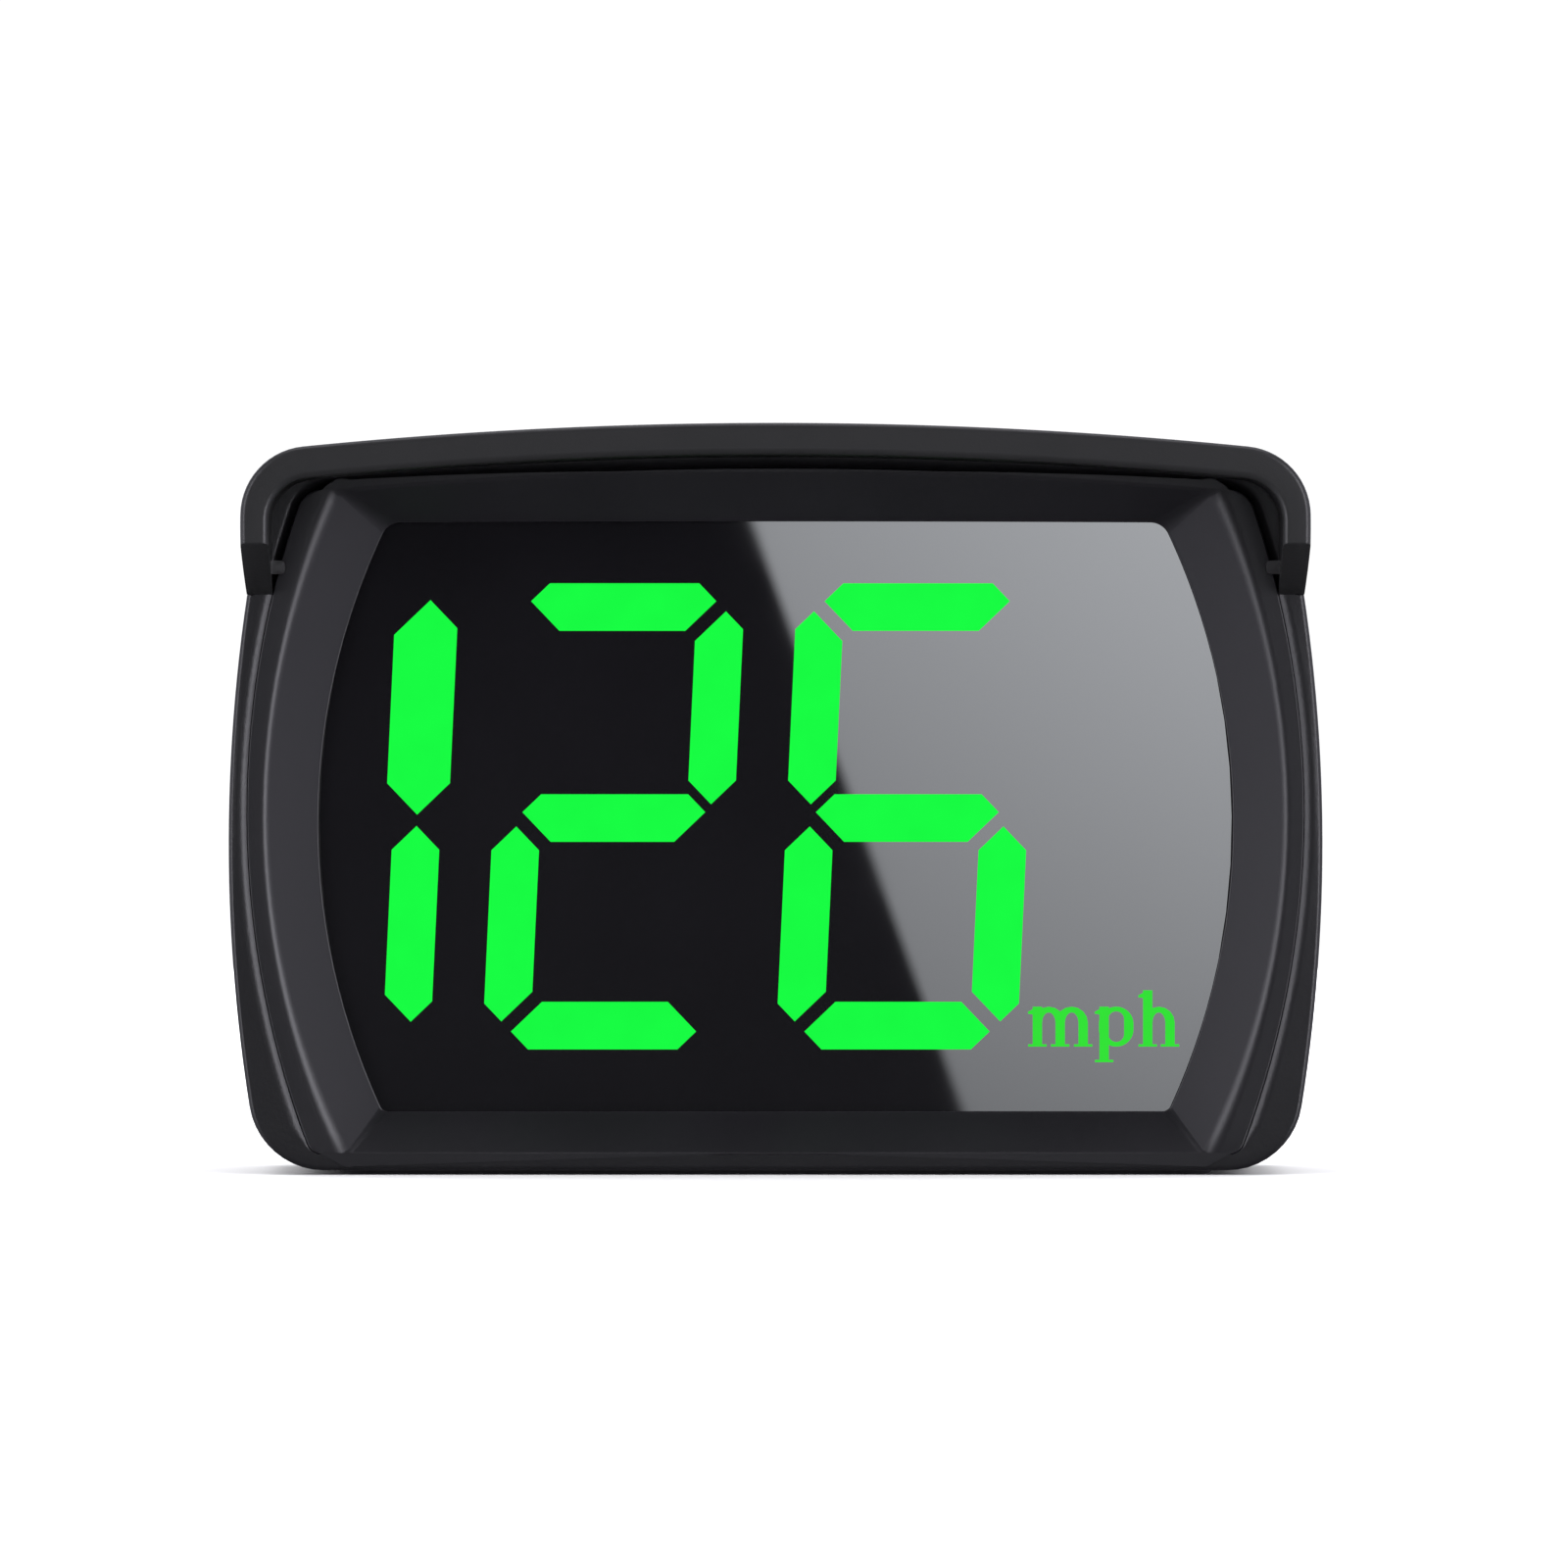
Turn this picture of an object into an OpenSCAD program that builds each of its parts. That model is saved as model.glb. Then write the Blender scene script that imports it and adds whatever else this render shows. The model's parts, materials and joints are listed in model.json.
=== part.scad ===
// Dashboard head-up speedometer: a hooded barrel-shaped case with a three-digit
// seven-segment display in a gloss black window, and the boards that drive it.
// Millimetres, +Z up, the display faces -Y. The origin is under the middle of the
// bounding box, on the surface that the case stands on.

/* [Case] */
// Width of the case at its widest
case_w = 65; // [60:0.5:90]
// Height of the case top above the table, without the hood
case_h = 43.5; // [42:0.5:60]
// Depth of the case from the front face to the back
case_d = 24; // [24:0.5:40]
// Depth of the rear cover
cover_d = 7; // [6:0.5:9]
// Wall thickness of the case
wall = 1.6; // [1.4:0.1:2]
// Radius of the bulging sides
side_r = 100; // [80:5:200]
// Radius of the slightly arched top
top_r = 280; // [200:10:600]
// Radius of the lower case corners
low_corner = 4.5; // [4:0.25:6]
// Radius of the upper case corners
top_corner = 5; // [4.5:0.25:6]
// Rounding of the front edge
front_edge_r = 0.6; // [0.3:0.1:1]
// Rounding of the rear edge
rear_edge_r = 4; // [3:0.25:5]
// How far the sides swell below half height
swell_drop = 2.05; // [1:0.05:3]

/* [Base pad] */
// Thickness of the non-slip pad
pad_t = 1; // [0.8:0.1:1.4]
// How far the pad stands out under the case
pad_proud = 0.25; // [0.2:0.05:0.5]
// Distance from the pad's ends to the case sides
pad_side = 6.5; // [6:0.5:10]

/* [Bezel] */
// Outer band of the case beside the bezel, at its narrowest
bezel_side = 1.1; // [0.9:0.1:1.6]
// Case lip above the bezel
bezel_head = 1.55; // [1.4:0.05:2]
// Height of the bezel's lower edge
bezel_foot = 1.2; // [1.1:0.1:1.6]
// Radius of the bezel's sides
bezel_r = 56; // [50:1:80]
// Flat strip between the bezel's edge and its ridge
strip_w = 1.35; // [1:0.05:2]
// Depth of the bevel from the face to the window
bevel_d = 2.8; // [2:0.1:4]
// Thickness of the window land
land_t = 0.5; // [0.4:0.1:1]
// Thickness of the ledge that carries the bezel
ledge_t = 1.6; // [1.2:0.1:2]
// Width of the open groove round the bezel
groove_w = 0.45; // [0.3:0.05:0.6]
// Depth of the open groove round the bezel
groove_d = 0.5; // [0.3:0.05:0.8]
// Diameter of the bezel's stakes
stake_d = 1.2; // [1:0.1:1.4]

/* [Window] */
// Case side to window edge, at mid height
window_side = 5.45; // [5:0.05:8]
// Height of the window's lower edge
window_sill = 3.67; // [3.5:0.05:5]
// Window's upper edge to the case top
window_head = 4.63; // [4.5:0.05:6]
// Radius of the window's sides
window_r = 43; // [40:1:60]
// Corner radius of the window
window_corner = 1.4; // [1:0.1:2]
// Thickness of the double-sided tape
tape_t = 0.2; // [0.1:0.05:0.3]
// Thickness of the window panel
lens_t = 1.2; // [1:0.1:2]
// How far the window panel reaches under the land
lens_lap = 1; // [0.8:0.1:1.2]

/* [Hood] */
// How far the hood reaches in front of the face
hood_reach = 6; // [4:0.5:12]
// How far the hood stands above the case top
hood_rise = 1; // [0.8:0.1:1.5]
// How far the hood reaches back over the case
hood_back_len = 9; // [7:0.5:12]
// Height of the hood's sides
hood_side_h = 10.2; // [9:0.1:14]
// Height of the slanted lower end of the rim
hood_slant_h = 3.1; // [2:0.1:5]
// Hood rim thickness at the top
hood_rim_t = 1.9; // [1.6:0.1:2.5]
// Hood rim thickness at the sides
hood_rim_side = 2.25; // [1.8:0.05:2.5]
// Thickness of the hood's skirt at the top
skirt_t = 1.4; // [1.2:0.1:1.6]
// Thickness of the hood's skirt at the sides
skirt_side = 1; // [0.8:0.05:1.2]
// Case lip's setback behind the hood rim
lip_setback = 0.8; // [0.4:0.1:1.2]

/* [Display] */
// Space between the digits and the window edge, above and below
digit_margin = 3.7; // [3:0.1:5]
// Distance between the uprights of one digit
digit_span = 11.55; // [10:0.05:12]
// Distance from one digit to the next
digit_pitch = 17.5; // [16.5:0.1:19]
// Place of the units digit, right of the middle
units_x = 7.84; // [7:0.01:9]
// Width of a segment
bar_w = 2.84; // [2:0.02:3.2]
// Width of the upper bar of the hundreds digit
hundreds_w = 3.75; // [2.8:0.05:4]
// Lean of the digits, sideways over upwards
lean = 0.047; // [0:0.001:0.1]
// Distance from a segment's tip to its corner
tip_gap = 0.6; // [0.4:0.05:0.8]
// How far the corner tips lie outside the segment's middle
tip_out = 0.35; // [0:0.05:0.5]
// Thickness of the black mask film
mask_t = 0.2; // [0.1:0.05:0.3]
// Depth of the light box
box_d = 4; // [3.5:0.1:6]
// Depth of the diffusers in the light box
diffuser_d = 2.5; // [1.5:0.1:3]
// Height of the small letters of the unit legend
legend_x_h = 2.38; // [2:0.02:2.8]

/* [Boards] */
// Thickness of the display and main boards
pcb_t = 1.2; // [1:0.1:1.6]
// Half width of the main board
main_half_w = 24.2; // [23:0.1:24.4]
// Height of the main board's underside
main_z = 5; // [4.8:0.1:6]
// Side of the antenna's ceramic block
patch_w = 10; // [9:0.5:10]
// Height of the antenna's ceramic block
patch_h = 4; // [3:0.5:4]
// Pitch of the header pins
pin_pitch = 2; // [1.27:0.01:2]
// Thickness of the header pins
pin_t = 0.5; // [0.4:0.05:0.6]

/* [Controls] */
// Diameter of the mode button
button_d = 5; // [4:0.1:6]
// Travel of the mode button
button_travel = 0.4; // [0.2:0.05:0.5]
// Place of the mode button, right of the middle
button_x = 13; // [12:0.5:14]
// Width of the power slider's knob
knob_w = 3; // [2.5:0.1:4]
// Height of the power slider's knob
knob_h = 2.4; // [2:0.1:3]
// Travel of the power slider
slider_travel = 2; // [1.5:0.1:2.5]
// Middle of the power slider's slot
slider_x = -13; // [-14:0.5:-12]

/* [Screws and fits] */
// Diameter of the case screws
case_screw_d = 2; // [1.8:0.1:2.2]
// Diameter of the board screws
board_screw_d = 1.6; // [1.4:0.1:1.8]
// Outer diameter of the case screw bosses
case_boss_d = 4.2; // [4:0.1:4.6]
// Outer diameter of the board screw bosses
board_boss_d = 3.2; // [3:0.1:3.6]
// Gap between pieces that are fixed to each other
fit = 0.05; // [0.03:0.01:0.1]
// Gap round pieces that move
running_fit = 0.3; // [0.25:0.05:0.4]

/* [Hidden] */
$fn = 48;
eps = 0.01;
far = 100;

// Levels along Y, from the hood's tip to the back
total_d = case_d + hood_reach;
tip_y = -total_d / 2;
face_y = tip_y + hood_reach;
back_y = total_d / 2;
part_y = back_y - cover_d;
rear_in_y = back_y - wall;
window_y = face_y + bevel_d;
bezel_back_y = window_y + land_t;
ledge_back_y = bezel_back_y + ledge_t;
lens_y = bezel_back_y + tape_t;
mask_y = lens_y + lens_t + 0.1;
box_y = mask_y + mask_t;
board_y = box_y + box_d;
board_back_y = board_y + pcb_t;
hood_back_y = face_y + hood_back_len;

// Outlines, each as [half width, side radius, middle height, foot, head, top radius,
// lower corner, upper corner]
half_w = case_w / 2;
mid_z = case_h / 2 - swell_drop;
case_line = [half_w, side_r, mid_z, pad_proud, case_h, top_r, low_corner, top_corner];
bezel_line = [half_w - bezel_side, bezel_r, case_h / 2 - 0.25, bezel_foot, case_h - bezel_head,
    top_r + 20, 0.9, 2.5];
groove_line = [bezel_line[0] + groove_w, bezel_r, bezel_line[2], bezel_foot, bezel_line[4],
    bezel_line[5], bezel_line[6], bezel_line[7]];
ridge_line = [half_w - bezel_side - strip_w, bezel_r - 12, case_h / 2 - 0.45, bezel_foot + 0.15,
    case_h - bezel_head - 0.35, top_r + 20, 0.3, 0.6];
window_line = [half_w - window_side, window_r, case_h / 2 - 0.85, window_sill, case_h - window_head,
    4000, window_corner, window_corner];
hood_top = case_h + hood_rise;
hood_low = hood_top - hood_side_h;
hood_line = [half_w - 0.75, 50, hood_top - 6, case_h / 2, hood_top, top_r, 1, 4.1];
rim_line = [half_w - 0.75 - hood_rim_side, 600, hood_top - 6, case_h / 2, hood_top - hood_rim_t,
    top_r, 1, 2.5];
skirt_line = [half_w - 0.75 - skirt_side, 50, hood_top - 6, case_h / 2, hood_top - skirt_t,
    top_r, 1, 3.3];

// Display layout
window_h = case_h - window_head - window_sill;
digit_z = window_sill + window_h / 2;
half_h = window_h / 2 - digit_margin;
half_span = digit_span / 2;
tens_x = units_x - digit_pitch;
hundreds_x = tens_x - digit_pitch + half_span;
SEG_2 = [0, 1, 3, 4, 6];
SEG_6 = [0, 2, 3, 4, 5, 6];
legend_x = 15.04;
legend_z = digit_z - half_h + 0.17;
stem_w = 0.56;
foot_w = 1.1;
foot_t = 0.14;
p_drop = -0.93;
h_top = 3.36;
legend_well = [[14.9, legend_z - 1.35], [9.5, 4.9]];
window_fit = 0.03;
led_size = [1.6, 0.7, 1.2];

// Boards and what stands on them
main_top = main_z + pcb_t;
main_front_y = board_back_y + 0.8;
main_rear_y = back_y - 3.4;
arm_x = half_w - 2.6;
arm_h = 10;
core_x = 24.5;
core_top = case_h - 3.9;
core_low = window_sill - 0.6;
antenna_z = case_h - 7.9;
antenna_t = 1;
antenna_half_w = 7;
antenna_y0 = board_back_y + 0.5;
antenna_y1 = rear_in_y - 0.7;
patch_y = (antenna_y0 + antenna_y1) / 2;
main_pins = 8;
main_pin_z = main_top + 1.8;
main_bend_y = board_back_y + 3.8;
antenna_pins = 4;
antenna_pin_z = antenna_z - 2.2;
antenna_bend_y = board_back_y + 3.2;
strip_d = 2;
strip_side = 2;
buzzer_at = [18, case_h - 17.5];
buzzer_d = 9;
cell_at = [-18, case_h - 17.5];
driver_z = case_h / 2 - 1.75;
rest_x = 20;
floor_boss_y = board_back_y + 3.3;

// Rear controls
switch_back_y = main_rear_y - 0.2;
switch_d = 3.5;
flange_y = switch_back_y + 1;
flange_t = 0.7;
button_z = main_top + 2.15;
flange_d = button_d + 1.6;
knob_y = back_y - 0.1;
slider_z = main_top + 1.8;
knob_x = slider_x - slider_travel / 2;
slider_flange = [9, flange_t, 4.4];
lever_w = 1.5;
plunger_d = 3.4;
plunger_len = 0.6;
usb_w = 8.94;
usb_h = 3.2;
usb_wall = 0.3;
usb_z = main_top + usb_h / 2;
usb_front_y = back_y - 0.4;
usb_back_y = usb_front_y - 7.3;

// Screw places, [x, z] on the case and on the display board
low_boss = [half_w - low_corner - 0.7, pad_proud + low_corner - 0.15];
high_boss = [half_w - top_corner - 0.5, case_h - top_corner + 0.1];
case_bosses = [low_boss, high_boss, [-low_boss[0], low_boss[1]], [-high_boss[0], high_boss[1]]];
display_boss_x = half_w - 3.6;
display_bosses = [for (sx = [-1, 1], dz = [-7, 7]) [sx * display_boss_x, mid_z + 1.3 + dz]];
stakes = [for (sx = [-1, 1], dz = [-13, 13]) [sx * (half_w - 4.35), mid_z + 1.3 + dz]];
floor_bosses = [for (sx = [-1, 1]) [sx * rest_x, floor_boss_y]];
head_seat_y = part_y + 2;
case_head = [3.6, 1.5];
board_head = [2.9, 1];

// Points of an arc, from one angle towards the other, without the last point
function arc(centre, r, from, to, n) =
    [for (i = [0 : n - 1]) let (a = from + (to - from) * i / n) centre + r * [cos(a), sin(a)]];

// Where the upper corner's centre lies: inside the side arc and under the top arc
function upper_centre(o) =
    let (p = [o[0] - o[1], o[2]], q = [0, o[4] - o[5]], rp = o[1] - o[7], rq = o[5] - o[7],
         d = norm(q - p), along = (rp * rp - rq * rq + d * d) / (2 * d),
         across = sqrt(rp * rp - along * along), e = (q - p) / d)
    p + along * e + across * [-e[1], e[0]];

// The right half of a barrel outline, from its foot to just short of its head
function right_half(o) =
    let (side = [o[0] - o[1], o[2]], top = [0, o[4] - o[5]],
         low_z = o[3] + o[6],
         low = [side[0] + sqrt(pow(o[1] - o[6], 2) - pow(low_z - o[2], 2)), low_z],
         high = upper_centre(o),
         a = atan2(low[1] - side[1], low[0] - side[0]),
         b = atan2(high[1] - side[1], high[0] - side[0]),
         c = atan2(high[1] - top[1], high[0] - top[0]))
    concat(arc(low, o[6], -90, a, 6), arc(side, o[1], a, b, 12), arc(high, o[7], b, c, 7),
           arc(top, o[5], c, 90, 5));

// A whole barrel outline, its two halves mirrored
function outline(o) =
    let (right = right_half(o), n = len(right))
    concat(right, [[0, o[4]]], [for (i = [n - 1 : -1 : 0]) [-right[i][0], right[i][1]]]);

// The same outline, larger all round by g
function grown(o, g) = [o[0] + g, o[1] + g, o[2], o[3] - g, o[4] + g, o[5] + g,
    max(0.2, o[6] + g), max(0.2, o[7] + g)];

// A drawing in X and Z, carried along Y between two levels
module along_y(from, to) {
    translate([0, to, 0])
        rotate([90, 0, 0])
            linear_extrude(height = to - from)
                children();
}

// A slab with a barrel outline
module slab(o, from, to) {
    along_y(from, to)
        polygon(outline(o));
}

// A round bar along Y at [x, z]
module bar_y(at, d, from, to) {
    translate([at[0], to, at[1]])
        rotate([90, 0, 0])
            cylinder(d = d, h = to - from);
}

// A box given by its lowest and highest corners
module block(low, high) {
    translate(low)
        cube(high - low);
}

// A slot with round ends, centred, in X and Z
module obround(w, h) {
    square([w - h, h], center = true);
    for (s = [-1, 1])
        translate([s * (w - h) / 2, 0])
            circle(d = h);
}

// A rectangle with round corners, centred
module round_rect(w, h, r) {
    square([w - 2 * r, h], center = true);
    square([w, h - 2 * r], center = true);
    for (sx = [-1, 1], sy = [-1, 1])
        translate([sx * (w / 2 - r), sy * (h / 2 - r)])
            circle(r = r);
}

// Six points of a level segment with pointed ends
function level_bar(tip, v, low, high, g) =
    let (t = tip + g * sqrt(2), l = low - g, h = high + g)
    [[-t, v], [-t + v - l, l], [t - v + l, l], [t, v], [t - h + v, h], [-t + h - v, h]];

// Six points of an upright segment with pointed ends; base and top are its tips
function upright_bar(left, right, base, top, g) =
    let (l = left - g, r = right + g, b = base - [0, g * sqrt(2)], t = top + [0, g * sqrt(2)])
    [b, [r, b[1] + r - b[0]], [r, t[1] - r + t[0]], t, [l, t[1] - t[0] + l], [l, b[1] + b[0] - l]];

// One segment of a digit, numbered 0 to 6 for a to g
function segment(n, g) =
    let (edge_v = half_h - bar_w / 2 + tip_out, edge_u = half_span + tip_out,
         out = half_span + bar_w / 2, in = half_span - bar_w / 2, tip_v = edge_v - tip_gap)
    n == 0 ? level_bar(edge_u - tip_gap, edge_v, half_h - bar_w, half_h, g)
    : n == 1 ? upright_bar(in, out, [half_span, 0.72], [edge_u, tip_v], g)
    : n == 2 ? upright_bar(in, out, [edge_u, -tip_v], [half_span, -0.6], g)
    : n == 3 ? level_bar(edge_u - tip_gap, -edge_v, -half_h, -half_h + bar_w, g)
    : n == 4 ? upright_bar(-out, -in, [-edge_u, -tip_v], [-half_span, -0.6], g)
    : n == 5 ? upright_bar(-out, -in, [-half_span, 0.72], [-edge_u, tip_v], g)
    : level_bar(half_span - 0.32, 0.25, -bar_w / 2 - 0.1, bar_w / 2 - 0.1, g);

// The two bars of the hundreds digit, which only ever shows a one
function hundreds_bar(n, g) =
    n == 0 ? upright_bar(-hundreds_w / 2, hundreds_w / 2, [0, 0.1], [0.2, half_h - 1], g)
    : upright_bar(-bar_w / 2, bar_w / 2, [0.2, -half_h + 1.65], [0, -0.57], g);

// A segment's points, leant over and put in its place
function placed(points, x) = [for (p = points) [x + p[0] + lean * p[1], digit_z + p[1]]];

// The middle of a set of points
function centre_of(points) =
    [for (k = [0, 1]) ([for (p = points) 1] * [for (p = points) p[k]]) / len(points)];

// All segments, as lists of points with a growth g
function hundreds_all(g) = [for (n = [0, 1]) placed(hundreds_bar(n, g), hundreds_x)];
function digit_all(list, x, g) = [for (n = list) placed(segment(n, g), x)];
function every_segment(g) = concat(hundreds_all(g), digit_all([0 : 6], tens_x, g),
    digit_all([0 : 6], units_x, g));

// Pieces of the legend's letters, each larger all round by g: a stem, a foot under it,
// and the arch that springs from one stem to the next
module stem(x, from, to, g) {
    translate([x - stem_w / 2 - g, from - g])
        square([stem_w + 2 * g, to - from + 2 * g]);
}
module foot(x, z, g) {
    translate([x - foot_w / 2 - g, z - g])
        square([foot_w + 2 * g, foot_t + 2 * g]);
}
module arch(from, to, g) {
    mid = (from + to) / 2;
    rx = (to - from + stem_w) / 2;
    spring = legend_x_h - 0.95;
    rise = legend_x_h - spring;
    polygon(concat(
        [for (a = [0 : 22.5 : 180]) [mid + (rx + g) * cos(a), spring - g + (rise + 2 * g) * sin(a)]],
        [for (a = [180 : -22.5 : 0])
            [mid + (rx - stem_w - g) * cos(a), spring - g + (rise - 0.34) * sin(a)]]));
}
module bowl(x, w, h, t, g) {
    translate([x, h / 2])
        difference() {
            round_rect(w + 2 * g, h + 2 * g, w / 2 + g - eps);
            round_rect(w - 2 * (t + g), h - t - 2 * g, w / 2 - t - g - eps);
        }
}

// The legend "mph" in plain serif letters, its baseline on the X axis
module legend_letters(g) {
    m = [0.57, 1.93, 3.3];
    p = 4.55;
    h = [7.15, 8.48];
    top = legend_x_h;
    spring = top - 0.9;
    for (line = [[m[0], 0, top], [m[1], 0, spring], [m[2], 0, spring], [p, p_drop, top],
            [h[0], 0, h_top], [h[1], 0, spring]]) {
        stem(line[0], line[1], line[2], g);
        foot(line[0], line[1], g);
    }
    for (link = [[m[0], m[1]], [m[1], m[2]], h])
        arch(link[0], link[1], g);
    bowl(p + 0.72, 2.06, top, stem_w, g);
    for (serif = [[m[0], top], [p, top], [h[0], h_top]])
        polygon([serif + [-stem_w - g, -0.3], serif + [-stem_w - g, -0.42 - g],
            serif + [0, -0.5 - g], serif + [0, g]]);
}

// A pan-head screw along +Y from its head, its shank towards -Y
module screw(d, length, head) {
    rotate([90, 0, 0])
        cylinder(d = d, h = length);
    rotate([-90, 0, 0])
        difference() {
            cylinder(d = head[0], h = head[1]);
            for (turn = [0, 90])
                rotate([0, 0, turn])
                    translate([0, 0, head[1] - 0.25])
                        cube([head[0] * 0.6, head[0] * 0.15, 1], center = true);
        }
}

// A chip with its leads in two rows, standing on the XY plane
module leaded_chip(body, leads, pitch, reach) {
    translate([0, 0, 0.1])
        linear_extrude(height = body[2])
            square([body[0], body[1]], center = true);
    for (i = [0 : leads - 1])
        translate([(i - (leads - 1) / 2) * pitch, 0, 0.15])
            cube([pitch * 0.4, body[1] + 2 * reach, 0.3], center = true);
}

// A square chip with its leads on all four sides, standing on the XY plane
module quad_chip(side, height, leads, pitch, reach) {
    translate([0, 0, height / 2 + 0.1])
        cube([side, side, height], center = true);
    for (turn = [0 : 90 : 270], i = [0 : leads - 1])
        rotate([0, 0, turn])
            translate([(i - (leads - 1) / 2) * pitch, (side + reach) / 2 - eps, 0.15])
                cube([pitch * 0.4, reach, 0.3], center = true);
}

// The region that the hood takes from the case, outside the skirt's inner face
module hood_seat() {
    difference() {
        block([-far, face_y - 1, hood_low], [far, hood_back_y + 0.15, far]);
        slab(grown(skirt_line, -fit), face_y - 2, far);
    }
    block([-far, face_y - 1, hood_low], [far, face_y + lip_setback, far]);
}

// Catches on the skirt's inner face, and the pockets that they snap into
module catches(g) {
    for (s = [-1, 1])
        translate([s * (skirt_line[0] - 0.15), face_y + 5, hood_low + 1.5])
            cube([0.9 + 2 * g, 4 + 2 * g, 0.8 + 2 * g], center = true);
}

module front_shell() {
    color("#26262a")
    difference() {
        union() {
            difference() {
                hull()
                    for (turn = [0 : 30 : 90])
                        slab(grown(case_line, -front_edge_r * (1 - sin(turn))),
                            face_y + front_edge_r * (1 - cos(turn)), part_y);
                slab(grown(case_line, -wall), ledge_back_y, far);
                slab(grown(bezel_line, fit), -far, bezel_back_y);
                slab(grown(window_line, lens_lap + 0.3), -far, far);
                slab(groove_line, -far, face_y + groove_d);
                hood_seat();
                catches(0.1);
                translate([0, (face_y + part_y) / 2 + 0.5, 0])
                    linear_extrude(height = pad_t)
                        round_rect(case_w - 2 * pad_side + 2 * fit, part_y - face_y - 3 + 2 * fit, 2);
            }
            for (at = case_bosses)
                bar_y(at, case_boss_d, ledge_back_y - eps, part_y - fit);
            for (at = display_bosses)
                bar_y(at, board_boss_d, ledge_back_y - eps, board_y);
            for (at = floor_bosses)
                translate([at[0], at[1], pad_proud + wall - 0.2])
                    cylinder(d = board_boss_d, h = main_z - pad_proud - wall + 0.2);
        }
        for (at = case_bosses)
            bar_y(at, case_screw_d + 2 * fit, part_y - 8, far);
        for (at = display_bosses)
            bar_y(at, board_screw_d + 2 * fit, board_y - 3.8, board_y + 1);
        for (at = floor_bosses)
            translate([at[0], at[1], main_z - 2.6])
                cylinder(d = board_screw_d + 2 * fit, h = 4);
        for (at = stakes)
            bar_y(at, stake_d + 2 * fit, bezel_back_y - 1, ledge_back_y + 1);
    }
}

module front_bezel() {
    color("#37363b") {
        difference() {
            slab(bezel_line, face_y, bezel_back_y);
            hull() {
                slab(ridge_line, face_y - eps, face_y);
                slab(window_line, window_y - eps, window_y);
            }
            slab(window_line, window_y - 1, far);
        }
        for (at = stakes)
            bar_y(at, stake_d, bezel_back_y - eps, ledge_back_y + 0.4);
    }
}

module hood() {
    color("#313135")
    union() {
        intersection() {
            difference() {
                slab(hood_line, tip_y, hood_back_y);
                slab(rim_line, -far, far);
                slab(skirt_line, face_y + lip_setback - fit, far);
                slab(grown(bezel_line, fit), face_y - fit, far);
            }
            rotate([90, 0, 90])
                translate([0, 0, -far / 2])
                    linear_extrude(height = far)
                        polygon([[tip_y, hood_low + hood_slant_h], [face_y, hood_low + 0.15],
                            [hood_back_y, hood_low + 0.15], [hood_back_y, far], [tip_y, far]]);
        }
        intersection() {
            catches(0);
            difference() {
                slab(hood_line, face_y, hood_back_y);
                slab(grown(skirt_line, -0.35), -far, far);
            }
        }
        for (s = [-1, 1])
            translate([s * (rim_line[0] + 0.05), face_y - 0.65, hood_low + 1.8])
                cube([0.9, 1.2, 0.8], center = true);
    }
}

// The rear cover's form, its edge rounded off: the outer face, or a face inset from it
module cover_form(inset, from, to, edge_r) {
    hull()
        for (turn = [0 : 15 : 90])
            slab(grown(case_line, -inset - edge_r * (1 - cos(turn))), from,
                to - edge_r * (1 - sin(turn)));
}

// Shelf under one side of the antenna board, and rest under one side of the main board
module cover_rests() {
    for (s = [-1, 1]) {
        block([s * 6.3 - 0.7, antenna_y0 + 4.5, antenna_z - 1.6],
            [s * 6.3 + 0.7, rear_in_y + 0.3, antenna_z - fit]);
        block([s * rest_x - 0.8, part_y + 1.2, pad_proud + wall - 0.2],
            [s * rest_x + 0.8, main_rear_y - 0.2, main_z - fit]);
    }
}

// Tongue that centres the rear cover inside the front shell, cut away at the bosses
module cover_tongue() {
    difference() {
        slab(grown(case_line, -wall - 0.1), part_y - 1.4, part_y + 1);
        slab(grown(case_line, -wall - 0.9), part_y - 2, part_y + 2);
        for (at = case_bosses)
            bar_y(at, case_boss_d + 0.4, part_y - 2, part_y + fit);
    }
}

// Openings in the rear wall: controls, charging socket, vents, sound holes and label place
module rear_openings() {
    knob_gap = [slider_travel / 2 + knob_w / 2 + running_fit, 0, knob_h / 2 + running_fit];
    bar_y([button_x, button_z], button_d + 2 * running_fit, rear_in_y - 1, far);
    translate([button_x, back_y + 19.3, button_z])
        sphere(r = 20, $fn = 96);
    block([slider_x, rear_in_y - 1, slider_z] - knob_gap, [slider_x, far, slider_z] + knob_gap);
    along_y(rear_in_y - 1, far)
        translate([0, usb_z])
            obround(usb_w + 0.5, usb_h + 0.5);
    along_y(back_y - 0.3, far)
        translate([0, case_h / 2 - 1.25])
            round_rect(28, 10, 1);
    for (x = [-8 : 4 : 8])
        block([x - 0.6, rear_in_y - 1, case_h - 14], [x + 0.6, far, case_h - 9.5]);
    bar_y(buzzer_at, 1.2, rear_in_y - 1, far);
    for (turn = [0 : 60 : 300])
        bar_y(buzzer_at + 2.4 * [cos(turn), sin(turn)], 1.2, rear_in_y - 1, far);
}

module rear_cover() {
    color("#26262a")
    difference() {
        union() {
            difference() {
                cover_form(0, part_y + fit, back_y, rear_edge_r);
                cover_form(wall, part_y - 1, rear_in_y, rear_edge_r - wall);
            }
            intersection() {
                cover_form(0, part_y + fit, back_y, rear_edge_r);
                for (at = case_bosses)
                    bar_y(at, case_head[0] + 1.7, part_y + fit, rear_in_y + 0.5);
            }
            cover_tongue();
            cover_rests();
        }
        for (at = case_bosses) {
            bar_y(at, case_screw_d + 2 * running_fit, part_y - 1, far);
            bar_y(at, case_head[0] + 0.4, head_seat_y, far);
        }
        rear_openings();
    }
}

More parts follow.
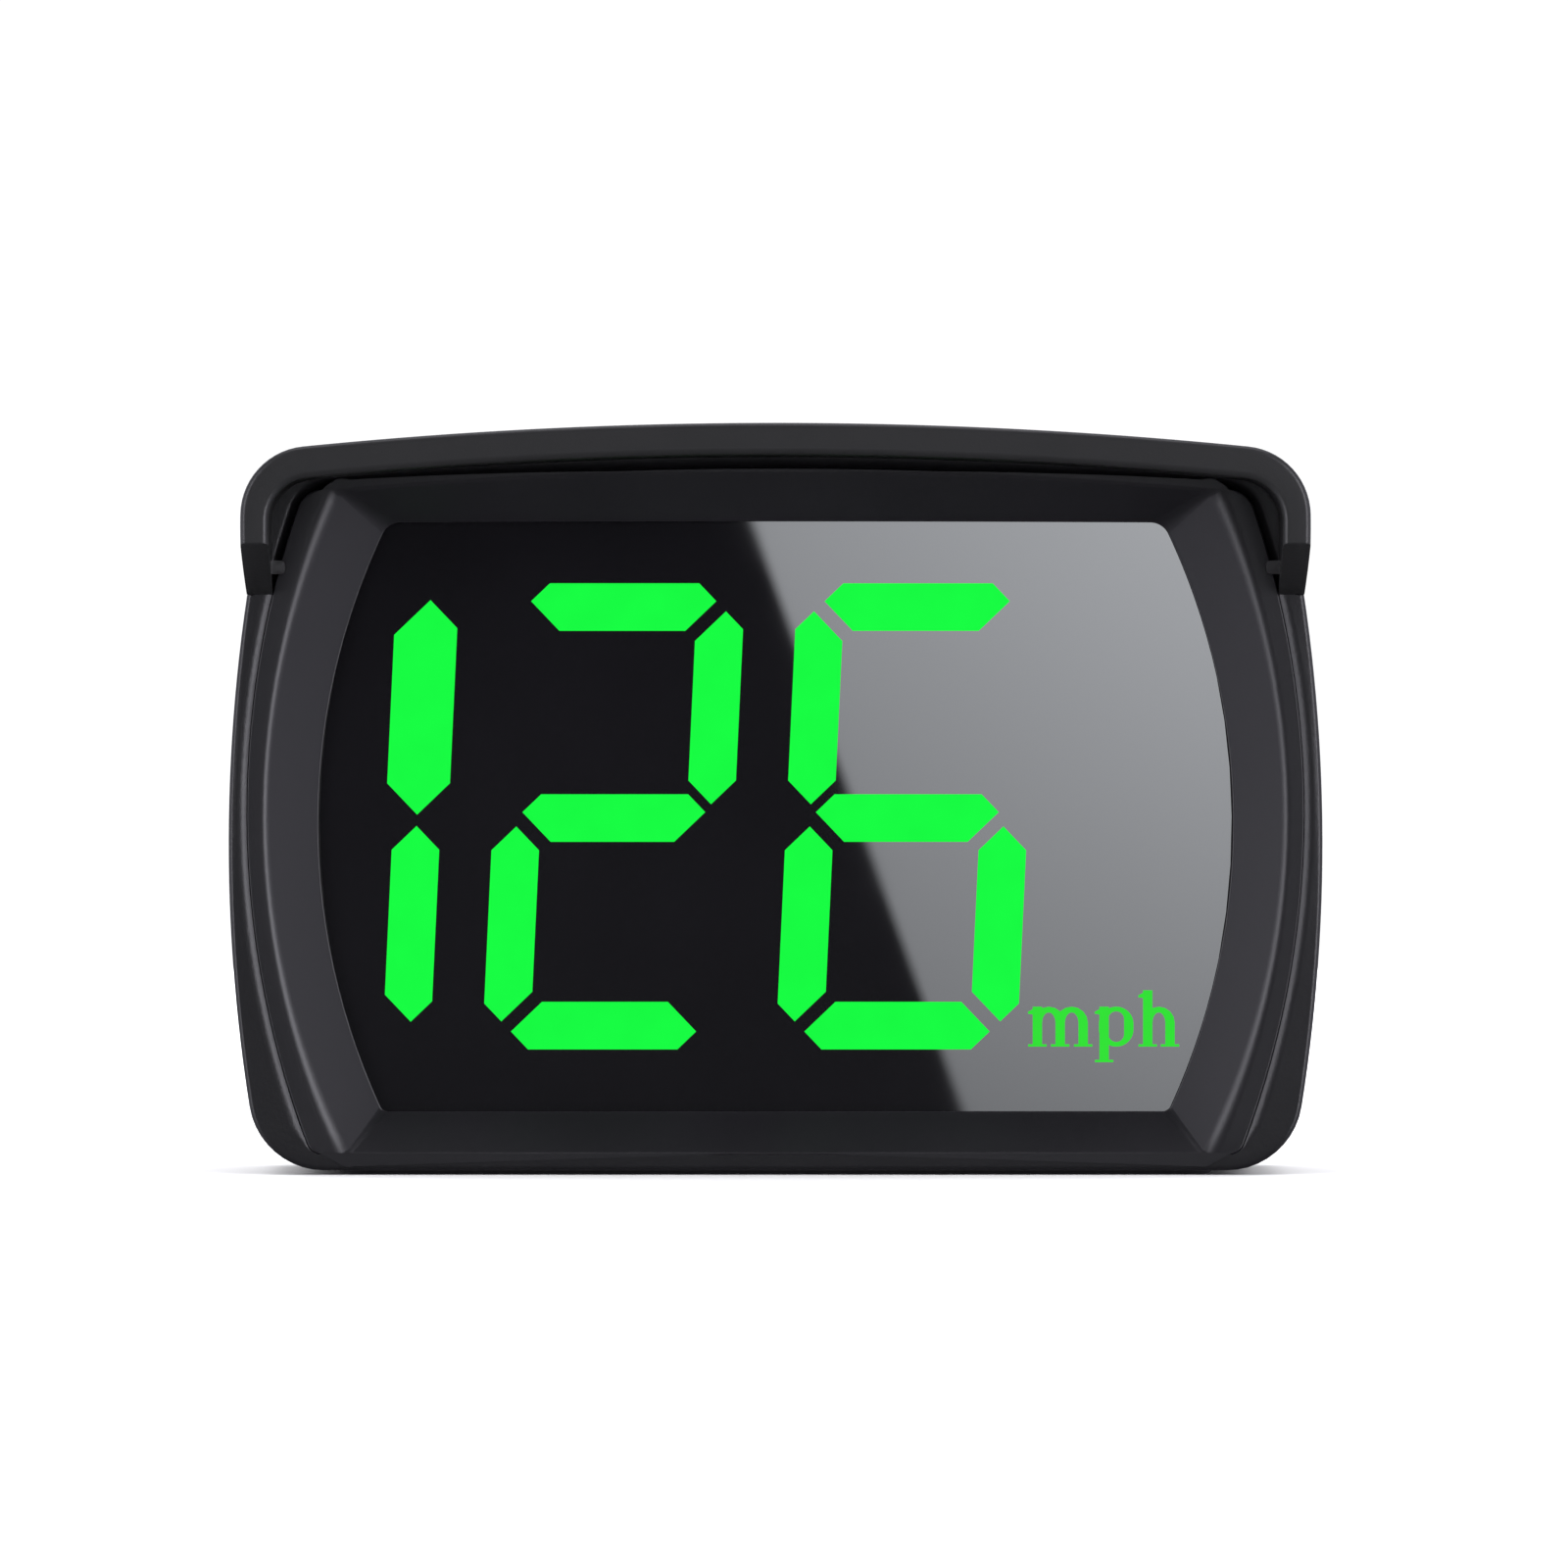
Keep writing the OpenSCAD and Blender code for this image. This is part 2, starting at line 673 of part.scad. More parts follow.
module base_pad() {
    color("#1a1a1c")
    translate([0, (face_y + part_y) / 2 + 0.5, 0])
        linear_extrude(height = pad_t - fit)
            round_rect(case_w - 2 * pad_side, part_y - face_y - 3, 2);
}

module lens_tape() {
    color("#101012")
    difference() {
        slab(grown(window_line, lens_lap), bezel_back_y, lens_y);
        slab(grown(window_line, 0.15), bezel_back_y - 1, lens_y + 1);
    }
}

// The clear places of the window, the mask and, for the segments, the light box
module clear_places(from, to) {
    along_y(from, to) {
        for (points = every_segment(window_fit))
            polygon(points);
        translate([legend_x, legend_z])
            legend_letters(window_fit);
    }
}

module window_lens() {
    color("#161618")
    difference() {
        slab(grown(window_line, lens_lap), lens_y, lens_y + lens_t);
        clear_places(lens_y - 1, lens_y + lens_t + 1);
    }
}

module segment_mask() {
    color("#08080a")
    difference() {
        slab(grown(window_line, 0.6), mask_y, box_y);
        clear_places(mask_y - 1, box_y + 1);
    }
}

module light_box() {
    color("#d8d8d4")
    difference() {
        slab(grown(window_line, 0.6), box_y, board_y);
        along_y(box_y - 1, board_y + 1) {
            for (points = every_segment(window_fit))
                polygon(points);
            translate(legend_well[0])
                square(legend_well[1]);
        }
    }
}

// The diffusers of a set of segments, from the window's face back into the light box
module diffusers(list) {
    along_y(lens_y, mask_y + diffuser_d)
        for (points = list)
            polygon(points);
}

module digit_hundreds() {
    color("#18f843")
    diffusers(hundreds_all(0));
}

module digit_tens() {
    color("#18f843")
    diffusers(digit_all(SEG_2, tens_x, 0));
}

module digit_units() {
    color("#18f843")
    diffusers(digit_all(SEG_6, units_x, 0));
}

module unlit_segments() {
    color("#1c1c1e")
    diffusers(concat(digit_all([2, 5], tens_x, 0), digit_all([1], units_x, 0)));
}

module mph_legend() {
    color("#34de38") {
        along_y(box_y, mask_y + diffuser_d)
            translate(legend_well[0] + [fit, fit])
                square(legend_well[1] - 2 * [fit, fit]);
        along_y(lens_y, box_y + eps)
            translate([legend_x, legend_z])
                legend_letters(0);
    }
}

module display_board() {
    arm_z = mid_z + 1.3;
    color("#1f5c33")
    difference() {
        along_y(board_y, board_back_y)
            polygon([[-core_x, core_low], [core_x, core_low], [core_x, arm_z - arm_h],
                [arm_x, arm_z - arm_h], [arm_x, arm_z + arm_h], [core_x, arm_z + arm_h],
                [core_x, core_top], [-core_x, core_top], [-core_x, arm_z + arm_h],
                [-arm_x, arm_z + arm_h], [-arm_x, arm_z - arm_h], [-core_x, arm_z - arm_h]]);
        for (at = display_bosses)
            bar_y(at, board_screw_d + 0.3, board_y - 1, board_back_y + 1);
        for (i = [0 : main_pins - 1])
            bar_y([pin_x(i, main_pins), main_pin_z], pin_t * 1.8, board_y - 1, board_back_y + 1);
        for (i = [0 : antenna_pins - 1])
            bar_y([pin_x(i, antenna_pins), antenna_pin_z], pin_t * 1.8, board_y - 1, board_back_y + 1);
    }
}

// Two emitters behind each segment, and one behind the legend
module segment_leds() {
    legend_mid = legend_well[0] + legend_well[1] / 2;
    color("#f2f0c8") {
        for (points = every_segment(0))
            let (mid = centre_of(points), tip = (points[3] - points[0]) / 4)
                for (s = [-1, 1])
                    translate([mid[0] + s * tip[0], board_y - led_size[1] / 2, mid[1] + s * tip[1]])
                        cube(led_size, center = true);
        translate([legend_mid[0], board_y - led_size[1] / 2, legend_mid[1]])
            cube(led_size, center = true);
    }
}

module display_driver() {
    color("#202022")
    translate([0, board_back_y, driver_z])
        rotate([-90, 0, 0])
            leaded_chip([18, 7.5, 2.3], 14, 1.27, 1.4);
}

module led_resistors() {
    color("#303034")
    for (i = [-3.5 : 1 : 3.5])
        translate([3 * i, board_back_y + 0.25, driver_z + 8])
            cube([0.8, 0.5, 1.6], center = true);
}

module buzzer() {
    color("#18181a")
    difference() {
        bar_y(buzzer_at, buzzer_d, board_back_y, board_back_y + 4.5);
        bar_y(buzzer_at, 1.8, board_back_y + 3, board_back_y + 5);
    }
}

module backup_cell() {
    color("#c8c8c8") {
        bar_y(cell_at, 6.8, board_back_y + 0.3, board_back_y + 2.2);
        bar_y(cell_at, 5.6, board_back_y, board_back_y + 0.31);
    }
}

// Place of pin i in a row of n
function pin_x(i, n) = (i - (n - 1) / 2) * pin_pitch;

// The plastic strip of a right-angle header, with a square hole for each pin
module header_strip(n, z) {
    difference() {
        block([-n * pin_pitch / 2, board_back_y, z - strip_side / 2],
            [n * pin_pitch / 2, board_back_y + strip_d, z + strip_side / 2]);
        for (i = [0 : n - 1])
            translate([pin_x(i, n), board_back_y + 1, z])
                cube([pin_t, 4, pin_t], center = true);
    }
}

// Right-angle pins from the display board at height z to a board that they meet at end_z
module header_pins(n, z, bend_y, end_z) {
    for (i = [0 : n - 1])
        translate([pin_x(i, n), 0, 0]) {
            block([-pin_t / 2, board_y + fit, z - pin_t / 2],
                [pin_t / 2, bend_y + pin_t / 2, z + pin_t / 2]);
            block([-pin_t / 2, bend_y - pin_t / 2, min(z - pin_t / 2, end_z)],
                [pin_t / 2, bend_y + pin_t / 2, max(z + pin_t / 2, end_z)]);
        }
}

module main_header() {
    color("#141416")
    header_strip(main_pins, main_pin_z);
}

module main_header_pins() {
    color("#d8b04a")
    header_pins(main_pins, main_pin_z, main_bend_y, main_z - 1);
}

module antenna_header() {
    color("#141416")
    header_strip(antenna_pins, antenna_pin_z);
}

module antenna_header_pins() {
    color("#d8b04a")
    header_pins(antenna_pins, antenna_pin_z, antenna_bend_y, antenna_z + antenna_t - fit);
}

module antenna_board() {
    color("#1f5c33")
    difference() {
        block([-antenna_half_w, antenna_y0, antenna_z],
            [antenna_half_w, antenna_y1, antenna_z + antenna_t]);
        for (i = [0 : antenna_pins - 1])
            translate([pin_x(i, antenna_pins), antenna_bend_y, antenna_z - 1])
                cylinder(d = pin_t * 1.8, h = 4);
        translate([0, patch_y, antenna_z - 1])
            cylinder(d = 1, h = 4);
    }
}

module gnss_module() {
    color("#1f5c33")
    difference() {
        block([-4.85, antenna_y1 - 6.9, antenna_z - 0.8], [4.85, antenna_y1 - 0.2, antenna_z]);
        translate([0, patch_y, antenna_z - 2])
            cylinder(d = 1, h = 4);
    }
}

module gnss_shield() {
    color("#c4c6c8")
    difference() {
        block([-4.3, antenna_y1 - 6.4, antenna_z - 2.2], [4.3, antenna_y1 - 0.7, antenna_z - 0.8]);
        block([-4.15, antenna_y1 - 6.25, antenna_z - 2.05], [4.15, antenna_y1 - 0.85, antenna_z]);
    }
}

module patch_antenna() {
    z = antenna_z + antenna_t;
    color("#c9bba0")
    difference() {
        block([-patch_w / 2, patch_y - patch_w / 2, z], [patch_w / 2, patch_y + patch_w / 2, z + patch_h]);
        translate([0, patch_y, z - 1])
            cylinder(d = 1, h = patch_h + 2);
    }
}

module antenna_electrode() {
    top = antenna_z + antenna_t + patch_h;
    half = patch_w * 0.36;
    color("#dcdcdc") {
        block([-half, patch_y - half, top], [half, patch_y + half, top + 0.1]);
        translate([0, patch_y, antenna_z + fit])
            cylinder(d = 0.8, h = top - antenna_z);
    }
}

module main_board() {
    color("#1f5c33")
    difference() {
        block([-main_half_w, main_front_y, main_z], [main_half_w, main_rear_y, main_top]);
        for (at = floor_bosses)
            translate([at[0], at[1], main_z - 1])
                cylinder(d = board_screw_d + 0.3, h = 4);
        for (i = [0 : main_pins - 1])
            translate([pin_x(i, main_pins), main_bend_y, main_z - 1])
                cylinder(d = pin_t * 1.8, h = 4);
    }
}

module microcontroller() {
    color("#202022")
    translate([-13, (main_front_y + main_rear_y) / 2, main_z])
        mirror([0, 0, 1])
            quad_chip(7, 1, 8, 0.8, 0.9);
}

module crystal() {
    color("#c4c6c8")
    translate([-4.5, (main_front_y + main_rear_y) / 2 + 1.9, main_z - 0.4])
        cube([3.2, 2.5, 0.8], center = true);
}

module voltage_regulator() {
    color("#202022")
    translate([-13, main_front_y + 2.7, main_top])
        leaded_chip([2.9, 1.6, 1], 3, 0.95, 0.6);
}

module power_inductor() {
    color("#2c2c30")
    translate([-21.4, switch_back_y - 2.1, main_top])
        linear_extrude(height = 2)
            round_rect(4, 4, 1);
}

module electrolytic_capacitor() {
    color("#b8babd")
    translate([20.7, switch_back_y - 2.4, main_top]) {
        translate([0, 0, 0.5])
            cylinder(d = 4.8, h = 4.9);
        linear_extrude(height = 0.51)
            square(4.8, center = true);
    }
}

module chip_capacitors() {
    color("#b89a70")
    for (x = [9.6 : 2 : 15.6])
        translate([x, main_front_y + 3, main_top + 0.4])
            cube([0.8, 1.6, 0.8], center = true);
}

module usb_socket_shell() {
    color("#c4c6c8")
    along_y(usb_back_y, usb_front_y)
        translate([0, usb_z])
            difference() {
                obround(usb_w, usb_h);
                obround(usb_w - 2 * usb_wall, usb_h - 2 * usb_wall);
            }
}

module usb_socket_tongue() {
    color("#161618") {
        along_y(usb_back_y + 0.1, usb_back_y + 1.6)
            translate([0, usb_z])
                obround(usb_w - 2 * usb_wall - 2 * fit, usb_h - 2 * usb_wall - 2 * fit);
        block([-3.35, usb_back_y + 1.5, usb_z - 0.35], [3.35, usb_front_y - 0.8, usb_z + 0.35]);
    }
}

module tact_switch_body() {
    color("#1a1a1c")
    difference() {
        block([button_x - 3, switch_back_y - switch_d, main_top],
            [button_x + 3, switch_back_y, main_top + 4.3]);
        bar_y([button_x, button_z], plunger_d + 2 * running_fit,
            switch_back_y - plunger_len - button_travel - 0.1, switch_back_y + 1);
    }
}

module switch_plunger() {
    color("#6a6a6e")
    bar_y([button_x, button_z], plunger_d, switch_back_y - plunger_len, flange_y);
}

module mode_button() {
    color("#2c2c30") {
        bar_y([button_x, button_z], flange_d, flange_y, flange_y + flange_t);
        bar_y([button_x, button_z], button_d, flange_y + flange_t - eps, knob_y);
    }
}

module slide_switch_body() {
    slot = lever_w + slider_travel + 2 * running_fit;
    color("#c4c6c8")
    difference() {
        block([slider_x - 4.25, switch_back_y - switch_d, main_top],
            [slider_x + 4.25, switch_back_y, main_top + 3.6]);
        block([slider_x - slot / 2, switch_back_y - 1.1, slider_z - lever_w / 2 - running_fit],
            [slider_x + slot / 2, far, slider_z + lever_w / 2 + running_fit]);
    }
}

module slide_switch_lever() {
    color("#1a1a1c")
    block([knob_x - lever_w / 2, switch_back_y - 0.8, slider_z - lever_w / 2],
        [knob_x + lever_w / 2, flange_y + 0.5, slider_z + lever_w / 2]);
}

module power_slider() {
    pocket = lever_w / 2 + fit;
    color("#2c2c30")
    difference() {
        union() {
            translate([knob_x, flange_y + flange_t / 2, slider_z])
                cube(slider_flange, center = true);
            block([knob_x - knob_w / 2, flange_y + flange_t - eps, slider_z - knob_h / 2],
                [knob_x + knob_w / 2, knob_y, slider_z + knob_h / 2]);
            for (i = [-1 : 1])
                block([knob_x + 0.8 * i - 0.2, knob_y - eps, slider_z - knob_h / 2],
                    [knob_x + 0.8 * i + 0.2, back_y, slider_z + knob_h / 2]);
        }
        block([knob_x - pocket, flange_y - 1, slider_z - pocket],
            [knob_x + pocket, flange_y + 0.6, slider_z + pocket]);
    }
}

module display_screws() {
    color("#b0b2b5")
    for (at = display_bosses)
        translate([at[0], board_back_y, at[1]])
            screw(board_screw_d, pcb_t + 3.4, board_head);
}

module board_screws() {
    color("#b0b2b5")
    for (at = floor_bosses)
        translate([at[0], at[1], main_top])
            rotate([90, 0, 0])
                screw(board_screw_d, pcb_t + 2.3, board_head);
}

module case_screws() {
    color("#26262a")
    for (at = case_bosses)
        translate([at[0], head_seat_y, at[1]])
            screw(case_screw_d, head_seat_y - part_y + 6.5, case_head);
}

front_shell();
front_bezel();
hood();
rear_cover();
base_pad();
lens_tape();
window_lens();
segment_mask();
light_box();
digit_hundreds();
digit_tens();
digit_units();
unlit_segments();
mph_legend();
display_board();
segment_leds();
display_driver();
led_resistors();
buzzer();
backup_cell();
main_header();
main_header_pins();
antenna_header();
antenna_header_pins();
antenna_board();
gnss_module();
gnss_shield();
patch_antenna();
antenna_electrode();
main_board();
microcontroller();
crystal();
voltage_regulator();
power_inductor();
electrolytic_capacitor();
chip_capacitors();
usb_socket_shell();
usb_socket_tongue();
tact_switch_body();
switch_plunger();
mode_button();
slide_switch_body();
slide_switch_lever();
power_slider();
display_screws();
board_screws();
case_screws();
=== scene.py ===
# %% [markdown]
# # A hooded dashboard speedometer
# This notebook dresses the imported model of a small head-up speedometer: a barrel-shaped
# black case, a clip-on hood, a bevelled bezel and three green digits in a gloss window.
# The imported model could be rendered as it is, but its edges are knife-sharp and real
# mouldings never are. So the outer mouldings are worked out again here as smooth
# surfaces with rounded lips, while the boards inside stay as they come.

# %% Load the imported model
import json
from collections import namedtuple

import bmesh
import bpy
import numpy as np
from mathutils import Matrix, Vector


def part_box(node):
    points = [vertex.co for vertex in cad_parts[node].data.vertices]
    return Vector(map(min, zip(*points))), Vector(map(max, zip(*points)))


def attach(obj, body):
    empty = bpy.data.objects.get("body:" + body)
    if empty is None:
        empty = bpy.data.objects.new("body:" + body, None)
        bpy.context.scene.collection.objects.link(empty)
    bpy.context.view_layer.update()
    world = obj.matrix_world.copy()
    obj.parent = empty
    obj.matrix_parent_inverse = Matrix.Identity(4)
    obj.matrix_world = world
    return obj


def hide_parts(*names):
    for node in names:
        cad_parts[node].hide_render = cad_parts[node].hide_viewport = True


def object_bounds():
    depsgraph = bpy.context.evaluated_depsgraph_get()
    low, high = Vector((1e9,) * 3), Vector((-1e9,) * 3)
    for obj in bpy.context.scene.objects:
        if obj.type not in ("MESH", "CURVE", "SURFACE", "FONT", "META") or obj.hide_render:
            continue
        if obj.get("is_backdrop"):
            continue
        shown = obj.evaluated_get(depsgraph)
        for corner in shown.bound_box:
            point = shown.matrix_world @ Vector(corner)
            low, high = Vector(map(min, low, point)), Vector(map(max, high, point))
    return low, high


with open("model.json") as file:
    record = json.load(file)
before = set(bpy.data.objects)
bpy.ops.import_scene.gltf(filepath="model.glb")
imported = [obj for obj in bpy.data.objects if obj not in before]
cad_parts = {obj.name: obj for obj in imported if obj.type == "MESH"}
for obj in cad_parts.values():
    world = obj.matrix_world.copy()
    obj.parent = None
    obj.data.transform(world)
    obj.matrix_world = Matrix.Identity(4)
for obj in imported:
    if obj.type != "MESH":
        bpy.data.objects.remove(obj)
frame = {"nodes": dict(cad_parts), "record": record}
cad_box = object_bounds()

mm = 0.001

# %% [markdown]
# ## Sizes
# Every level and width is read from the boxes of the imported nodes, so the new surfaces
# fall on the old ones. Copying the numbers by hand would also work, until one of them
# changed. Only what a box can't tell, such as an arc's radius, is written down here.

# %% Levels
def extent(node):
    """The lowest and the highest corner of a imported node, as two arrays in metres."""
    low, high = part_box(node)
    return np.array(low), np.array(high)


shell_low, shell_high = extent("front_shell")
bezel_low, bezel_high = extent("front_bezel")
hood_low, hood_high = extent("hood")
cover_low, cover_high = extent("rear_cover")
lens_low, lens_high = extent("window_lens")

face_y = shell_low[1]
part_y = shell_high[1]
back_y = cover_high[1]
bezel_back_y = extent("lens_tape")[0][1]
window_y = bezel_back_y - 0.5 * mm
ledge_back_y = bezel_back_y + 1.6 * mm
lip_y = face_y + 0.8 * mm
wall = 1.6 * mm
fit = 0.05 * mm
seat_z = hood_low[2] - 0.02 * mm
print("face, parting line and back at", [round(y / mm, 2) for y in (face_y, part_y, back_y)])

# %% [markdown]
# ## Outlines
# Seen from the front, case, bezel, window and hood are all barrels: bulging sides, an
# arched top and round corners. Eight numbers describe such a barrel. Curves drawn by
# hand would do for one of them, but numbers can be shared and compared.

# %% Outlines
Outline = namedtuple("Outline", "half_w side_r mid_z foot head top_r low_r high_r")


def outline(half_w, side_r, mid_z, foot, head, top_r, low_r, high_r):
    """A barrel outline: bulging sides, an arched top, a flat foot and four round corners.
    The radii are given in millimetres, everything else in metres."""
    return Outline(half_w, side_r * mm, mid_z, foot, head, top_r * mm, low_r * mm, high_r * mm)


case_mid = shell_high[2] / 2
hood_mid = hood_high[2] - 6 * mm
case_line = outline(shell_high[0], 100, case_mid - 2.05 * mm, shell_low[2], shell_high[2],
                    280, 4.5, 5)
bezel_line = outline(bezel_high[0], 56, case_mid - 0.25 * mm, bezel_low[2], bezel_high[2],
                     300, 0.9, 1.7)
ridge_line = outline(bezel_high[0] - 1.35 * mm, 44, case_mid - 0.45 * mm, bezel_low[2] + 0.15 * mm,
                     bezel_high[2] - 0.35 * mm, 300, 0.3, 0.6)
window_line = outline(lens_high[0] - mm, 43, case_mid - 0.85 * mm, lens_low[2] + mm,
                      lens_high[2] - mm, 4000, 1.4, 1.4)
hood_line = outline(hood_high[0] - 0.18 * mm, 50, hood_mid, case_mid, hood_high[2], 280, 1, 4.1)
rim_line = outline(hood_high[0] - 1.85 * mm, 300, hood_mid, case_mid, hood_high[2] - 1.9 * mm,
                   280, 1, 2.5)
skirt_line = outline(hood_high[0] - mm, 50, hood_mid, case_mid, hood_high[2] - 1.4 * mm,
                     280, 1, 3.3)
opening_line = window_line._replace(half_w=window_line.half_w + 0.22 * mm, side_r=40.6 * mm,
                                    low_r=0.5 * mm, high_r=1.2 * mm)
print("case %.1f x %.1f x %.1f mm" % tuple((cad_box[1][k] - cad_box[0][k]) / mm for k in range(3)))

# %% [markdown]
# ## One ring of points
# All the mouldings share one kind of outline, so one function draws them all. Each
# section of the outline always gets the same number of points. That is what lets a case
# outline be joined to a window outline later: point 40 is on the side in both of them.

# %% Corner arcs
COUNTS = {"foot": 9, "low": 10, "side": 26, "upper": 12, "high": 14, "top": 24}


def corner_centres(o):
    """Centres of the lower and the upper corner arc. The lower one lies its own radius
    above the foot and inside the side arc. The upper one is where two circles meet: the
    side arc less the corner radius, and the top arc less the corner radius."""
    side = np.array([o.half_w - o.side_r, o.mid_z])
    top = np.array([0.0, o.head - o.top_r])
    low_z = o.foot + o.low_r
    low = np.array([side[0] + np.sqrt((o.side_r - o.low_r) ** 2 - (low_z - o.mid_z) ** 2), low_z])
    rs, rt = o.side_r - o.high_r, o.top_r - o.high_r
    gap = np.linalg.norm(top - side)
    along = (rs ** 2 - rt ** 2 + gap ** 2) / (2 * gap)
    across = np.sqrt(rs ** 2 - along ** 2)
    e = (top - side) / gap
    return side, top, low, side + along * e + across * np.array([-e[1], e[0]])


def arc(centre, radius, start, end, count, last=False):
    """Points and outward normals on a circle: centre plus radius times (cos, sin)."""
    a = np.linspace(start, end, count, endpoint=last)
    normals = np.stack([np.cos(a), np.sin(a)], axis=1)
    return centre + radius * normals, normals


def angle(p, centre):
    """Direction from centre to p, in radians."""
    return np.arctan2(p[1] - centre[1], p[0] - centre[0])


def check_corners(o):
    """Each corner centre's distance from the side's centre, less the difference of their
    radii. Both should be zero."""
    side, top, low, high = corner_centres(o)
    corners = ((low, o.low_r), (high, o.high_r))
    return [np.linalg.norm(c - side) - (o.side_r - r) for c, r in corners]


print("corner errors", np.round(check_corners(case_line), 9))

# %% [markdown]
# ## Half an outline
# Foot, lower corner, side, upper corner and top follow each other, each with its own
# count of points. The side has a break in it where the hood's seam crosses it, so that
# the shell can change its shape exactly there. The other half is a mirror image.

# %% Half an outline
def half_ring(o, low_end=None, split_z=seat_z):
    """The right half of an outline, from its foot up to the middle of its head, as points
    and normals. The side arc is split where it passes split_z, and has two points there.
    With low_end, the half starts on the side arc at that height instead."""
    side, top, low, high = corner_centres(o)
    a, b, c = angle(low, side), angle(high, side), angle(high, top)
    split = np.arcsin((split_z - side[1]) / o.side_r)
    if low_end is None:
        foot_x = np.linspace(0, low[0], COUNTS["foot"], endpoint=False)
        foot = np.stack([foot_x, np.full_like(foot_x, o.foot)], axis=1)
        parts = [(foot, np.tile([0.0, -1.0], (len(foot), 1))),
                 arc(low, o.low_r, -np.pi / 2, a, COUNTS["low"]),
                 arc(side, o.side_r, a, split, COUNTS["side"], last=True),
                 arc(side, o.side_r, split, b, COUNTS["upper"])]
    else:
        start = np.arcsin((low_end - side[1]) / o.side_r)
        parts = [arc(side, o.side_r, start, b, COUNTS["upper"])]
    parts += [arc(high, o.high_r, b, c, COUNTS["high"]),
              arc(top, o.top_r, c, np.pi / 2, COUNTS["top"], last=True)]
    return np.concatenate([p for p, n in parts]), np.concatenate([n for p, n in parts])


print("points in half an outline", len(half_ring(case_line)[0]))

# %% [markdown]
# ## Rings, rows and surfaces
# A moulding is a profile carried round the outline. Here the profile is a list of rows,
# and each row is a whole ring: an outline, how far it is pushed out along its normals,
# and its level in depth. A sweep tool could do this for one outline. A stack of rings
# also allows the outline itself to change along the profile, as it does on the bezel.

# %% Rows of points
def ring(o, y, grow=0.0):
    """A closed ring at depth y: the outline's points plus grow times their normals. The
    left half mirrors the right one. Both y and grow may differ from point to point."""
    points, normals = half_ring(o)
    points = np.concatenate([points, points[-2:0:-1] * [-1, 1]])
    normals = np.concatenate([normals, normals[-2:0:-1] * [-1, 1]])
    flat = points + normals * np.reshape(grow, (-1, 1))
    return np.stack([flat[:, 0], np.full(len(flat), y), flat[:, 1]], axis=1)


first_upper = COUNTS["foot"] + COUNTS["low"] + COUNTS["side"]
half_count = len(half_ring(case_line)[0])
RIGHT_UPPER = np.arange(half_count) >= first_upper
UPPER = np.concatenate([RIGHT_UPPER, RIGHT_UPPER[-2:0:-1]])
RING_Z = ring(bezel_line, 0.0)[:, 2]


def split(lower, upper):
    """One ring out of two: lower up to the hood's seam, upper above it."""
    return np.where(UPPER[:, None], upper, lower)


def grid_faces(rows, cols, close_rows=False, close_cols=False):
    """Four-cornered faces between the points of a grid numbered row by row."""
    i = np.arange(rows if close_rows else rows - 1)[:, None]
    j = np.arange(cols if close_cols else cols - 1)[None, :]
    k, l = (i + 1) % rows, (j + 1) % cols
    corners = [i * cols + j, i * cols + l, k * cols + l, k * cols + j]
    return np.stack(corners, axis=-1).reshape(-1, 4)


print("points in a ring", 2 * half_count - 2)

# %% [markdown]
# ## From points to a solid
# A grid of points becomes a mesh in one call. The seams are what needs care: doubled
# points are merged, faces are turned outwards, and open edges are counted, because light
# would leak in through them. Black mouldings are seen by their reflections, so the
# normals get a step of their own. Weighting them by area keeps a flat flat right up to
# the small round beside it, which smooth shading alone doesn't.

# %% Meshes and normals
def build(name, points, faces, sharp=32):
    """A mesh object at the origin. Doubled points are merged, faces are turned outwards,
    and edges sharper than `sharp` degrees stay crisp."""
    mesh = bpy.data.meshes.new(name)
    corners = np.asarray(points).reshape(-1, 3).tolist()
    mesh.from_pydata(corners, [], [list(map(int, f)) for f in faces])
    work = bmesh.new()
    work.from_mesh(mesh)
    bmesh.ops.remove_doubles(work, verts=work.verts, dist=0.0005 * mm)
    bmesh.ops.dissolve_degenerate(work, edges=work.edges, dist=0.0005 * mm)
    bmesh.ops.recalc_face_normals(work, faces=work.faces)
    open_edges = sum(not e.is_manifold for e in work.edges)
    work.to_mesh(mesh)
    work.free()
    mesh.shade_smooth()
    mesh.set_sharp_from_angle(angle=np.radians(sharp))
    obj = bpy.data.objects.new(name, mesh)
    bpy.context.scene.collection.objects.link(obj)
    print(f"{name}: {len(mesh.vertices)} points, {len(mesh.polygons)} faces, "
          f"open edges {open_edges}")
    return obj


def bake(obj):
    """Applies the modifiers: the object's mesh becomes the evaluated one."""
    view = bpy.context.evaluated_depsgraph_get()
    mesh = bpy.data.meshes.new_from_object(obj.evaluated_get(view))
    obj.modifiers.clear()
    obj.data = mesh


def even_normals(obj):
    """Weights each point's normal by the area of the faces round it, so a large flat
    face stays flat right up to the small round along its edge."""
    weigh = obj.modifiers.new("normals", "WEIGHTED_NORMAL")
    weigh.keep_sharp = True
    bake(obj)
    return obj


def closed_ring_solid(name, rows):
    """A solid like a bent tube: the profile's last row joins its first."""
    return build(name, np.array(rows), grid_faces(len(rows), rows[0].shape[0], True, True))


def capped_solid(name, rows):
    """A solid like a cup: the first and the last ring are filled with one face each."""
    cols = rows[0].shape[0]
    faces = grid_faces(len(rows), cols, False, True).tolist()
    faces += [list(range(cols)), list(range((len(rows) - 1) * cols, len(rows) * cols))]
    return build(name, np.array(rows), faces)


